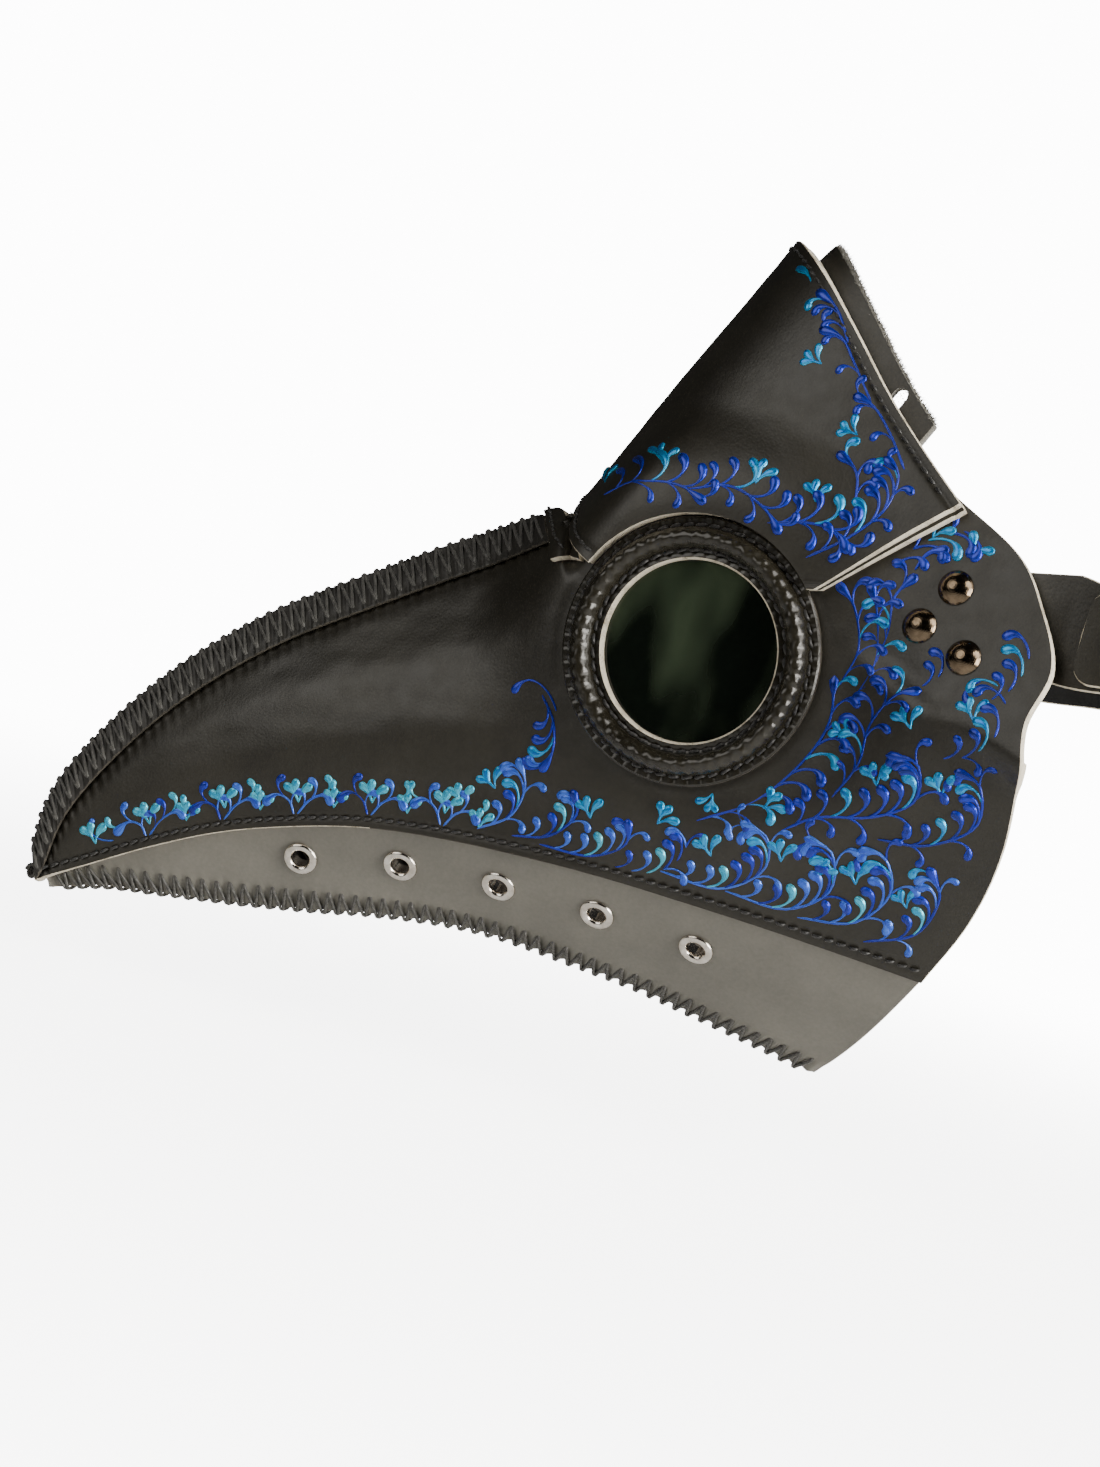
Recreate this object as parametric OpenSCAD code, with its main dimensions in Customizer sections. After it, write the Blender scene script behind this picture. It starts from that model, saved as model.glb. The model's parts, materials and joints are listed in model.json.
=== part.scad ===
// Plague doctor mask: leather panels sewn round a hollow curved beak, with
// glass eyes in padded rings, a wrapped forehead and riveted head straps.
// Millimetres. +Z is up as worn, the beak points to -Y, the wearer's left is +X,
// and the origin lies midway between the two eye glasses.

/* [Mask] */
// Length of the panels, from the beak's tip to the back edge
mask_len = 262; // [200:1:320]
// Width across the back edges
mask_w = 148; // [120:1:180]
// Height, from the beak's tip to the top of the forehead
mask_h = 236; // [190:1:285]
// Thickness of one layer of leather
leather_t = 2.6; // [2:0.1:3.2]
// Gap left between two layers that lie on each other
layer_gap = 0.3; // [0.2:0.05:0.6]
// Thickness of the binding over the ridge
binding_t = 1; // [0.8:0.1:1.4]
// How far the ridge binding reaches down each side
binding_w = 8.5; // [6:0.5:12]

/* [Eyes] */
// Diameter of each eye glass
glass_d = 50; // [40:1:60]
// Width of the glass that shows through the ring
aperture_d = 48; // [36:1:58]
// Radial width of the leather eye ring
ring_w = 11.5; // [9:0.5:14]
// Height of the padded ring above the panel
ring_h = 6.5; // [5:0.5:9]
// How far each glass stands from the middle of the face
eye_x = 43; // [34:1:50]
// Turn of each glass forward from straight sideways, in degrees
eye_turn = 13; // [0:1:25]
// Clearance round the glass and the ring
eye_gap = 0.3; // [0.2:0.05:0.5]

/* [Fittings] */
// Radius of the hole through each eyelet
eyelet_r = 2.5; // [1.5:0.1:3]
// Radius of each eyelet's flange
eyelet_flange_r = 5; // [4.2:0.1:6]
// Distance between neighbouring eyelets
eyelet_pitch = 28.75; // [20:0.25:32]
// Number of eyelets on each side
eyelet_n = 5; // [2:1:6]
// Radius of a rivet's cap
rivet_cap_r = 4.5; // [3.5:0.1:5.5]
// Radius of a rivet's post
rivet_post_r = 1.5; // [1:0.1:2]
// Clearance of a hole round its post or barrel
hole_gap = 0.15; // [0.1:0.05:0.3]
// Length of the slot in the front of the forehead
slot_l = 12; // [8:0.5:16]
// Width of the slot in the front of the forehead
slot_w = 4.8; // [4.2:0.1:6]

/* [Straps] */
// Width of the head strap
strap_w = 15; // [12:0.5:20]
// Width of a strap tab where it leaves the mask
tab_w = 27; // [22:0.5:30]
// Radius of the curve that the head straps follow
strap_r = 62; // [55:1:75]
// Thickness of the buckle's wire
wire_d = 2.4; // [2:0.1:3]
// Radius of the strap's adjusting holes
strap_hole_r = 1.6; // [1.2:0.1:2]
// Number of adjusting holes
strap_hole_n = 6; // [2:1:7]
// Width of the crown strap
crown_w = 19; // [14:1:24]

/* [Hidden] */
$fn = 48;

// Scale of the pattern below, which is drawn at 262 long, 148 wide and 236 high.
kx = mask_w / 148;
ky = mask_len / 262;
kz = mask_h / 236;

// Half the gap between the two halves along the ridge and the keel.
edge_x = leather_t + 0.3;

// Top edge of the left side panel: the ridge up to the eighth point, and from
// there the edge that lies hidden under the forehead.
TOP = [[edge_x, -172, -109], [edge_x, -170.5, -89], [edge_x, -160, -67], [edge_x, -143.5, -44],
    [edge_x, -122.5, -23], [edge_x, -99, -5.5], [edge_x, -74, 12], [edge_x, -50, 27],
    [16, -38, 27.5], [30, -22, 36], [42, 0, 45], [50, 27, 52], [54.5, 54, 56]];
RIDGE_END = 7 / 12;
// Lower edge of the left side panel: the seam on to the jaw panel.
// Its tip has room for the two layers of each side.
tip_x = 2 * (leather_t + layer_gap);
SEAM = [[tip_x, -169, -115], [tip_x + 1.7, -155, -106.5], [tip_x + 4.8, -137, -95.5], [14.5, -117, -85],
    [18.5, -96, -77], [22, -75, -71], [25.5, -53, -67.5], [29, -30, -65.5],
    [32, -8, -64.5], [34.5, 14, -64.4], [37.5, 37, -64.6], [40.5, 60, -65.2], [43, 81, -66]];
// Back edge of the left side panel, from the seam up to the temple.
BACK = [[43, 81, -66], [52, 87.5, -48], [62, 90, -30], [70, 88.5, -12], [73, 85.5, 4],
    [74, 88, 19], [68.5, 82, 33], [63, 73, 45], [54.5, 54, 56]];
// Middle line under the beak, where the two jaw panels meet: [y, z].
KEEL = [[-168, -117.5], [-150, -111.5], [-130, -108], [-110, -104.5], [-90, -100.5],
    [-70, -96], [-48, -92.5], [-30, -91.8], [-12, -92.8], [6, -94], [24, -96.5],
    [43, -99.3], [62, -102.5]];

// Forehead: a sheet with straight lines that lean back. "rise" runs along those
// lines and "behind" runs back from the front line.
lean = 24.2;
front_y = -41;
front_z = 28;
behind_max = 80;
// Rise of the forehead's lower and upper edge at equal steps from the front line.
LOW_RISE = [4, -1, -7, -5, 5, 24.5];
HIGH_RISE = [96, 94.5, 90, 82.5, 72.5, 63];
low_reach = 0.9;

eye_drop = -3;
ring_r = aperture_d / 2 + ring_w;
lens_t = leather_t;
flat_r = ring_r + 2;
blend_r = ring_r + 30;

function lerp(a, b, t) = a + (b - a) * t;
function ease(a, b, t) = let (k = min(1, max(0, (t - a) / (b - a)))) k * k * (3 - 2 * k);
function unit(v) = v / norm(v);
function times(a, b) = [a.x * b.x, a.y * b.y, a.z * b.z];

// Smooth curve through points; t runs from 0 to 1.
function curve(p, t) =
    let (n = len(p) - 1, s = t * n, i = max(0, min(n - 1, floor(s))), f = s - i,
        b = p[i], c = p[i + 1],
        a = i == 0 ? 2 * b - c : p[i - 1],
        d = i == n - 1 ? 2 * c - b : p[i + 2])
    0.5 * (2 * b + (c - a) * f + (2 * a - 5 * b + 4 * c - d) * f * f
        + (3 * b - a - 3 * c + d) * f * f * f);

// Half width of the forehead's section, a blunt nose that flares at the temples.
function section(behind) =
    let (q = sqrt(max(behind, 0)) / 4.2) 44 * (1 - 2 / (exp(2 * q) + 1)) + 0.0021 * behind * behind;
function behind_at(y, z) = (y - front_y) * cos(lean) - (z - front_z) * sin(lean);
function rise_at(y, z) = (y - front_y) * sin(lean) + (z - front_z) * cos(lean);
// 1 where a point of the side panel lies under the forehead, 0 clear of it.
function under_brow(y, z) =
    let (b = behind_at(y, z), e = min(1, sqrt(max(b, 0) / behind_max) / low_reach))
    ease(-9, -1.5, rise_at(y, z) - curve(LOW_RISE, e)) * ease(-1, 1, b);
// How far the forehead's front line is free of the seat round the glass.
function front_keep(b) = ease(1, 14, b);

// The flat seat round each glass.
eye_n = unit([cos(eye_turn), -sin(eye_turn), tan(eye_drop)]);
function seat_x(y, z) = eye_x * kx - (eye_n.y * y + eye_n.z * z) / eye_n.x;
function seated(p, keep = 1) =
    let (m = keep * (1 - ease(flat_r, blend_r, norm([p.y, p.z]))))
    [lerp(abs(p.x), seat_x(p.y, p.z), m) * (p.x < 0 ? -1 : 1), p.y, p.z];

// Outer face of the left side panel: u runs back along the beak, v up from the seam.
function side(u, v) =
    let (low = curve(SEAM, u), high = curve(TOP, u),
        bow = curve(BACK, v) - lerp(SEAM[12], TOP[12], v),
        p = lerp(low, high, v) + times(bow, [u, u * u, u * u]),
        under = under_brow(p.y, p.z), b = behind_at(p.y, p.z),
        x = lerp(p.x, max(edge_x, section(b)), under))
    seated([x * kx, p.y * ky, p.z * kz], lerp(1, front_keep(b), under));

// Outer face of the left jaw panel: w is 0 at the seam and 1 at the keel, and the
// part below 0 lies inside the side panel.
lap = 7;
panel_h = 118;
jaw_sag = 2.5;
function jaw(u, w) =
    let (v = lap / panel_h, drop = leather_t + layer_gap,
        a = side(u, 0) - drop * grid_n(SIDE, u, 0.01),
        up = side(u, v) - drop * grid_n(SIDE, u, v),
        k = curve(KEEL, u), keel = [edge_x, k.x * ky, k.y * kz],
        p = w < 0 ? lerp(a, up, -w) : lerp(a, keel, w))
    w < 0 ? p : p - [0, 0, jaw_sag * sin(180 * w) * u];

// A point of the forehead's inner face; s is 0 on the front line, 1 at the left temple.
function brow(s, rise) =
    let (behind = behind_max * s * s, x = section(behind) * (s < 0 ? -1 : 1),
        y = front_y + behind * cos(lean) + rise * sin(lean),
        z = front_z - behind * sin(lean) + rise * cos(lean))
    seated([x * kx, y * ky, z * kz], front_keep(behind));
function brow_face(e, f) =
    brow(e * lerp(low_reach, 1, f), lerp(curve(LOW_RISE, abs(e)), curve(HIGH_RISE, abs(e)), f));

// Outward normal of a surface f(u, v).
function grid_n(f, u, v, d = 0.004) =
    unit(cross(f(u + d, v) - f(u - d, v), f(u, v + d) - f(u, v - d)));

// Points of f over the rows us and columns vs, moved "out" along the normal.
function sheet_points(f, us, vs, out) =
    [for (u = us) [for (v = vs) f(u, v) + out * grid_n(f, u, v)]];

function steps(a, b, n) = [for (i = [0:n]) a + (b - a) * i / n];

// Closed solid between an outer and an inner net of points.
module shell(outer, inner) {
    n = len(outer);
    m = len(outer[0]);
    k = n * m;
    function o(i, j) = i * m + j;
    function quad(a, b, c, d) = [[a, b, c], [a, c, d]];
    polyhedron(
        points = concat([for (r = outer) each r], [for (r = inner) each r]),
        faces = concat(
            [for (i = [0:n - 2], j = [0:m - 2]) each concat(
                quad(o(i, j), o(i, j + 1), o(i + 1, j + 1), o(i + 1, j)),
                quad(k + o(i, j), k + o(i + 1, j), k + o(i + 1, j + 1), k + o(i, j + 1)))],
            [for (i = [0:n - 2]) each concat(
                quad(o(i, 0), o(i + 1, 0), k + o(i + 1, 0), k + o(i, 0)),
                quad(o(i + 1, m - 1), o(i, m - 1), k + o(i, m - 1), k + o(i + 1, m - 1)))],
            [for (j = [0:m - 2]) each concat(
                quad(o(0, j + 1), o(0, j), k + o(0, j), k + o(0, j + 1)),
                quad(o(n - 1, j), o(n - 1, j + 1), k + o(n - 1, j + 1), k + o(n - 1, j)))]),
        convexity = 8);
}

module sheet(f, us, vs, low, high) {
    shell(sheet_points(f, us, vs, high), sheet_points(f, us, vs, low));
}

module mirrored(right) {
    if (right) mirror([1, 0, 0]) children();
    else children();
}

// Turns +Z to the direction v.
module aim(v) {
    rotate([0, acos(v.z / norm(v)), atan2(v.y, v.x)]) children();
}

module at_eye() {
    translate([eye_x * kx, 0, 0]) aim(eye_n) children();
}

// Inverse of side(): the u and v of a point seen from the side.
function side_uv(y, z, q = [0.8, 0.7], i = 8) =
    i == 0 ? q :
    let (d = 0.002, p = side(q.x, q.y),
        a = (side(q.x + d, q.y) - p) / d, b = (side(q.x, q.y + d) - p) / d,
        g = a.y * b.z - a.z * b.y, ey = y - p.y, ez = z - p.z)
    side_uv(y, z, q + [ey * b.z - ez * b.y, a.y * ez - a.z * ey] / g, i - 1);

// Places of the three rivets of a strap tab, as seen from the side.
RIVETS = [[61, 33], [55, 21.5], [67.5, 16.5]];
function rivet_uv(i) = side_uv(RIVETS[i].x * ky, RIVETS[i].y * kz);
module at_rivets() {
    for (i = [0:2]) {
        q = rivet_uv(i);
        translate(side(q.x, q.y)) aim(grid_n(SIDE, q.x, q.y)) children();
    }
}

// Eyelets stand in a row along the jaw panel.
eyelet_w = 0.36;
first_eyelet = -93;
function eyelet_u(i) = find_u(first_eyelet * ky + i * eyelet_pitch, 0, 1, 24);
function find_u(y, a, b, i) =
    let (c = (a + b) / 2)
    i == 0 ? c : jaw(c, eyelet_w).y < y ? find_u(y, c, b, i - 1) : find_u(y, a, c, i - 1);
module at_eyelets() {
    for (i = [0:eyelet_n - 1]) {
        u = eyelet_u(i);
        translate(jaw(u, eyelet_w)) aim(-grid_n(JAW, u, eyelet_w)) children();
    }
}

// Radii and depths shared by the fittings and the holes they pass through.
eyelet_barrel_r = eyelet_r + 0.5;
seat_gap = 0.1;
under_t = leather_t + layer_gap;

side_us = steps(0, 1, 38);
side_vs = steps(0, 1, 14);
jaw_us = steps(0.015, 1, 34);
jaw_ws = [-1, -0.4, -0.02, 0.04, 0.22, 0.42, 0.62, 0.82, 1];
brow_es = steps(-1, 1, 36);
brow_fs = steps(0, 1, 9);

module side_panel(right) {
    color([0.2, 0.19, 0.17]) mirrored(right) difference() {
        sheet(SIDE, side_us, side_vs, -leather_t, 0);
        at_eye() cylinder(r = glass_d / 2 + eye_gap, h = 30, center = true, $fn = 72);
        at_rivets() cylinder(r = rivet_post_r + hole_gap, h = 16, center = true);
    }
}
module left_side_panel() side_panel(false);
module right_side_panel() side_panel(true);

module jaw_panel(right) {
    color([0.35, 0.33, 0.3]) mirrored(right) difference() {
        sheet(JAW, jaw_us, jaw_ws, 0, leather_t);
        at_eyelets() cylinder(r = eyelet_barrel_r + hole_gap, h = 12, center = true);
    }
}
module left_jaw_panel() jaw_panel(false);
module right_jaw_panel() jaw_panel(true);

// One of the forehead's two layers, cut round both eye rings.
module forehead_layer(low, high) {
    difference() {
        sheet(BROW, brow_es, brow_fs, low, high);
        for (right = [false, true]) mirrored(right)
            at_eye() cylinder(r = ring_r + eye_gap, h = 50, center = true, $fn = 96);
        forehead_slot();
    }
}
brow_low = layer_gap;
brow_mid = brow_low + leather_t + seat_gap;
slot_rise = 68;
module forehead_slot() {
    translate([0, front_y * ky, front_z * kz]) rotate([-lean, 0, 0])
        translate([0, 0, slot_rise * kz]) rotate([90, 0, 0]) linear_extrude(height = 30, center = true)
            union() {
                square([slot_w, slot_l - slot_w], center = true);
                for (end = [-1, 1]) translate([0, end * (slot_l - slot_w) / 2]) circle(d = slot_w);
            }
}
module forehead_lining() {
    color([0.16, 0.15, 0.14]) forehead_layer(brow_low, brow_low + leather_t);
}
module forehead_panel() {
    color([0.17, 0.16, 0.14]) forehead_layer(brow_mid, brow_mid + leather_t);
}

// Strip that wraps over the ridge from u0 to u1 and down "w" on each side.
wrap_steps = 4;
function wrap_row(u, w, out) =
    let (v0 = w / norm(side(u, 1) - side(u, 0)),
        left = [for (j = [0:wrap_steps])
            let (v = 1 - v0 * (1 - j / wrap_steps)) side(u, v) + out * grid_n(SIDE, u, v)],
        top = left[wrap_steps],
        n = grid_n(SIDE, u, 1),
        crest = [0, top.y, top.z] + 0.6 * unit([0, n.y, n.z]))
    concat([for (j = [wrap_steps:-1:0]) times(left[wrap_steps - j], [-1, 1, 1])], [crest], 
        [for (j = [wrap_steps:-1:0]) left[j]]);
function wrap_net(us, w, out) = [for (u = us) wrap_row(u, w, out)];
module wrap(us, w, low, high) {
    shell(wrap_net(us, w, low), wrap_net(us, w, high));
}
binding_us = steps(0.004, RIDGE_END - 0.012, 44);
module ridge_binding() {
    color([0.1, 0.1, 0.1]) wrap(binding_us, binding_w, 0.2, 0.2 + binding_t);
}
thread_t = 0.7;
module ridge_thread() {
    color([0.12, 0.12, 0.12]) wrap(binding_us, binding_w - 1.5, 0.3 + binding_t, 0.3 + binding_t + thread_t);
}
patch_w = 15;
patch_low = 0.95;
module nose_bridge_patch() {
    color([0.14, 0.14, 0.13]) difference() {
        wrap(steps(RIDGE_END - 0.008, RIDGE_END + 0.03, 6), patch_w, patch_low, patch_low + leather_t * 0.45);
        for (right = [false, true]) mirrored(right)
            at_eye() cylinder(r = ring_r + eye_gap, h = 50, center = true, $fn = 96);
    }
}

// Thread that draws the two jaw panels together along the keel.
keel_stitch_w = 7;
function keel_row(u, out) =
    let (deep = norm(jaw(u, 1) - jaw(u, 0)), w0 = max(0.3, 1 - keel_stitch_w / deep),
        left = [for (j = [0:3]) let (w = lerp(w0, 1, j / 3)) jaw(u, w) - out * grid_n(JAW, u, w)],
        low = left[3])
    concat([for (j = [0:3]) times(left[j], [-1, 1, 1])], [[0, low.y, low.z - 0.5]],
        [for (j = [3:-1:0]) left[j]]);
module keel_thread() {
    us = steps(0.02, 0.995, 40);
    color([0.15, 0.15, 0.15])
        shell([for (u = us) keel_row(u, 0.15 + thread_t)], [for (u = us) keel_row(u, 0.15)]);
}

// Eye: a leather ring padded between its two rows of stitches, a glass behind it
// and a retainer that holds the glass from inside.
ring_edge_t = leather_t;
module ring_section(shrink = 0) {
    mid = aperture_d / 2 + ring_w / 2;
    half = ring_w / 2 - shrink;
    polygon(concat(
        [[mid - half, shrink], [mid + half, shrink]],
        [for (i = [0:16]) let (a = i / 16, r = mid + half - 2 * half * a)
            [r, shrink + (ring_edge_t - 2 * shrink + (shrink > 0 ? 1 : 0))
                + (ring_h - ring_edge_t) * pow(sin(180 * a), 0.8)]]));
}
module eye_ring(right) {
    color([0.18, 0.17, 0.15]) mirrored(right) at_eye() translate([0, 0, seat_gap]) difference() {
        rotate_extrude($fn = 96) ring_section();
        rotate_extrude($fn = 96) pad_section(0);
    }
}
module pad_section(inset) {
    mid = aperture_d / 2 + ring_w / 2;
    translate([mid, ring_h / 2 + 0.1]) polygon([for (i = [0:23])
        let (a = i * 15) [(ring_w * 0.24 - inset) * cos(a), (ring_h * 0.24 - inset) * sin(a)]]);
}
module left_eye_ring() eye_ring(false);
module right_eye_ring() eye_ring(true);

module ring_padding(right) {
    color([0.6, 0.6, 0.58]) mirrored(right) at_eye() translate([0, 0, seat_gap])
        rotate_extrude($fn = 96) pad_section(0.1);
}
module left_ring_padding() ring_padding(false);
module right_ring_padding() ring_padding(true);

module lens(right) {
    color([0.06, 0.1, 0.08]) mirrored(right) at_eye() translate([0, 0, -lens_t])
        cylinder(d = glass_d, h = lens_t, $fn = 72);
}
module left_lens() lens(false);
module right_lens() lens(true);

retainer_t = 1.6;
retainer_lip = 2.5;
module lens_retainer(right) {
    color([0.15, 0.15, 0.15]) mirrored(right) at_eye()
        translate([0, 0, -leather_t - seat_gap - retainer_t]) difference() {
            cylinder(r = glass_d / 2 + 6, h = retainer_t, $fn = 72);
            translate([0, 0, -1]) cylinder(r = glass_d / 2 - retainer_lip, h = retainer_t + 2, $fn = 72);
        }
}
module left_lens_retainer() lens_retainer(false);
module right_lens_retainer() lens_retainer(true);

// Eyelets: a barrel with a rolled flange outside, and a washer inside.
flange_t = 0.8;
washer_t = 0.6;
module eyelets(right) {
    color([0.75, 0.74, 0.7]) mirrored(right) at_eyelets() rotate_extrude() union() {
        translate([eyelet_r, -leather_t - washer_t - 0.5])
            square([eyelet_barrel_r - eyelet_r, leather_t + washer_t + 0.6]);
        translate([eyelet_r, seat_gap]) square([eyelet_flange_r - eyelet_r, flange_t / 2]);
        translate([(eyelet_r + eyelet_flange_r) / 2, seat_gap + flange_t / 2])
            polygon([for (i = [0:12]) let (a = i * 15)
                [(eyelet_flange_r - eyelet_r) / 2 * cos(a), flange_t / 2 * sin(a)]]);
    }
}
module left_eyelets() eyelets(false);
module right_eyelets() eyelets(true);

module eyelet_washers(right) {
    color([0.6, 0.6, 0.58]) mirrored(right) at_eyelets()
        translate([0, 0, -leather_t - washer_t - 2 * seat_gap]) difference() {
            cylinder(r = eyelet_flange_r - 0.4, h = washer_t);
            translate([0, 0, -1]) cylinder(r = eyelet_barrel_r + 0.05, h = washer_t + 2);
        }
}
module left_eyelet_washers() eyelet_washers(false);
module right_eyelet_washers() eyelet_washers(true);

// Rivet with a domed cap, its post down to "depth" below the cap's seat.
cap_h = 2.4;
cap_gap = 0.35;
module rivet(depth) {
    dome_r = (rivet_cap_r * rivet_cap_r + cap_h * cap_h) / (2 * cap_h);
    rotate_extrude() union() {
        polygon(concat([[0, 0], [rivet_cap_r, 0]],
            [for (i = [0:10]) let (a = asin(rivet_cap_r / dome_r) * (1 - i / 10))
                [dome_r * sin(a), dome_r * cos(a) - dome_r + cap_h]]));
        translate([0, -depth]) square([rivet_post_r, depth + 0.2]);
    }
}
module rivet_back(hole) {
    difference() {
        cylinder(r = rivet_cap_r - 0.7, h = back_t);
        translate([0, 0, -1]) cylinder(r = hole, h = back_t + 2);
    }
}
back_t = 0.8;
anchor_gap = 0.9;
rivet_depth = 2 * leather_t + anchor_gap + cap_gap + back_t + 0.3;
module rivets(right) {
    color([0.45, 0.4, 0.34]) mirrored(right)
        at_rivets() translate([0, 0, cap_gap]) rivet(rivet_depth + cap_gap);
}
module left_rivets() rivets(false);
module right_rivets() rivets(true);
module rivet_backs(right) {
    color([0.5, 0.48, 0.45]) mirrored(right) at_rivets()
        translate([0, 0, 0.3 - rivet_depth]) rivet_back(rivet_post_r + 0.05);
}
module left_rivet_backs() rivet_backs(false);
module right_rivet_backs() rivet_backs(true);

// Head straps. "a" runs along the strap from its root behind the side panel's back
// edge: an arc in plan, then a straight end. t is the width's share, -0.5 to 0.5.
root = side(side_uv(83 * ky, 30 * kz).x, side_uv(83 * ky, 30 * kz).y);
root_turn = 22;
arc_len = strap_r * 3.1416 * 78 / 180;
strap_drop = 0.09;
inside = leather_t + anchor_gap;
centre = [root.x - inside - leather_t - strap_r * cos(root_turn), root.y + 7 + strap_r * sin(root_turn)];
function strap_angle(a) = -root_turn + min(a, arc_len) / strap_r * 57.2958;
function strap_plan(a) = let (g = strap_angle(a), extra = max(0, a - arc_len))
    centre + strap_r * [cos(g), sin(g)] + extra * [-sin(g), cos(g)];
function strap_z(a) = root.z - strap_drop * min(a, arc_len);
function strap_pt(a, z) = let (p = strap_plan(a)) [p.x, p.y, strap_z(a) + z];
function half_w(a) = lerp(tab_w, strap_w, ease(0, 34, a)) / 2;

TAB = function (a, t) strap_pt(a, 2 * t * half_w(a));
OVER = function (a, t) strap_pt(a, 2 * t * (half_w(a) - 1.2));
tab_len = 40;
module strap_tab(right) {
    color([0.2, 0.19, 0.18]) mirrored(right) difference() {
        sheet(TAB, steps(0.3, tab_len, 14), steps(-0.5, 0.5, 2), 0, leather_t);
        at_strap_rivets() cylinder(r = rivet_post_r + hole_gap, h = 16, center = true);
    }
}
module left_strap_tab() strap_tab(false);
module right_strap_tab() strap_tab(true);

// Two rivets join the tab and the strap.
STRAP_RIVETS = [15, 27];
strap_low = leather_t + seat_gap;
module at_strap_rivets() {
    for (a = STRAP_RIVETS) {
        p = strap_pt(a, 0);
        g = strap_angle(a);
        translate([p.x, p.y, p.z] + strap_low * [cos(g), sin(g), 0]) aim([cos(g), sin(g), 0]) children();
    }
}
module strap_rivets(right) {
    color([0.45, 0.4, 0.34]) mirrored(right) at_strap_rivets() union() {
        translate([0, 0, leather_t + seat_gap]) rivet(2 * leather_t + 3 * seat_gap);
        translate([0, 0, -leather_t - 2 * seat_gap - back_t])
            cylinder(r = rivet_cap_r - 0.7, h = back_t);
    }
}
module left_strap_rivets() strap_rivets(false);
module right_strap_rivets() strap_rivets(true);

strap_start = 5;
left_len = arc_len + 36;
right_len = arc_len + 14;
hole_pitch = 11;
module strap_sheet(len, n) {
    sheet(OVER, concat(steps(strap_start, 40, 12), steps(44, len, n)), steps(-0.5, 0.5, 2),
        strap_low, strap_low + leather_t);
}
module at_strap_end(a, z = 0) {
    p = strap_plan(a);
    translate([p.x, p.y, strap_z(a) + z]) rotate([0, 0, strap_angle(a)]) children();
}
module left_strap() {
    color([0.2, 0.19, 0.18]) difference() {
        union() {
            strap_sheet(left_len, 14);
            at_bar() cylinder(r = fold_r, h = prong_side * 2 + strap_w - 5, center = true);
        }
        at_strap_rivets() cylinder(r = rivet_post_r + hole_gap, h = 16, center = true);
        at_bar() cylinder(r = wire_d / 2 + bar_gap, h = 60, center = true);
        at_bar() translate([0, fold_r, 0]) cube([4 * fold_r, 4 * fold_r + 6, prong_w + 1.2], center = true);
    }
}
module right_strap() {
    color([0.2, 0.19, 0.18]) mirrored(true) difference() {
        strap_sheet(right_len, 14);
        at_strap_rivets() cylinder(r = rivet_post_r + hole_gap, h = 16, center = true);
        for (i = [0:strap_hole_n - 1]) at_strap_end(right_len - 14 - i * hole_pitch) 
            rotate([0, 90, 0]) cylinder(r = strap_hole_r, h = 20, center = true);
    }
}

// Buckle: its wire frame turns on the fold at the strap's end; the prong turns on
// the same bar.
bar_gap = 0.08;
prong_w = 2;
prong_d = 1.8;
prong_side = 2.5;
fold_r = wire_d / 2 + leather_t;
buckle_in = strap_w + 3;
buckle_len = 16;
module at_bar() {
    at_strap_end(left_len + fold_r - 0.6) translate([strap_low + leather_t / 2, 0, 0]) children();
}
module bead(p) translate(p) sphere(d = wire_d);
module buckle_frame() {
    h = buckle_in / 2 + wire_d / 2;
    color([0.7, 0.69, 0.66]) at_bar() union() {
        cylinder(d = wire_d, h = 2 * h, center = true);
        translate([0, buckle_len, 0]) cylinder(d = wire_d, h = 2 * h, center = true);
        for (end = [-1, 1]) {
            translate([0, 0, end * h]) rotate([-90, 0, 0]) cylinder(d = wire_d, h = buckle_len);
            bead([0, 0, end * h]);
            bead([0, buckle_len, end * h]);
        }
    }
}
module buckle_prong() {
    color([0.72, 0.71, 0.68]) at_bar() difference() {
        union() {
            cylinder(r = wire_d / 2 + 1.2, h = prong_w, center = true);
            translate([(wire_d + prong_d) / 2 + 0.15, 0, 0]) rotate([-90, 0, 0])
                cylinder(d = prong_d, h = buckle_len + 1.5);
        }
        cylinder(r = wire_d / 2 + bar_gap, h = 10, center = true);
    }
}
keeper_l = 9;
keeper_t = 1.6;
keeper_at = 12;
module strap_keeper() {
    color([0.17, 0.16, 0.15]) at_strap_end(arc_len + keeper_at)
        translate([strap_low + leather_t / 2, 0, 0]) difference() {
            cube([3 * leather_t + 2 * keeper_t, keeper_l, strap_w + 1.2 + 2 * keeper_t], center = true);
            cube([3 * leather_t, keeper_l + 2, strap_w + 1.2], center = true);
        }
}

// Plate under the side panel that the three rivets hold.
module strap_anchor(right) {
    us = steps(45, 85, 8);
    color([0.18, 0.17, 0.16]) mirrored(right) difference() {
        sheet(ANCHOR, us, steps(-0.5, 0.5, 4), -inside - leather_t, -inside);
        at_rivets() cylinder(r = rivet_post_r + hole_gap, h = 24, center = true);
    }
}
ANCHOR = function (y, t) let (z = lerp(22, 30, (y - 45) / 38) * kz + t * tab_w,
    q = side_uv(y * ky, z)) side(q.x, q.y);
module left_strap_anchor() strap_anchor(false);
module right_strap_anchor() strap_anchor(true);

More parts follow.
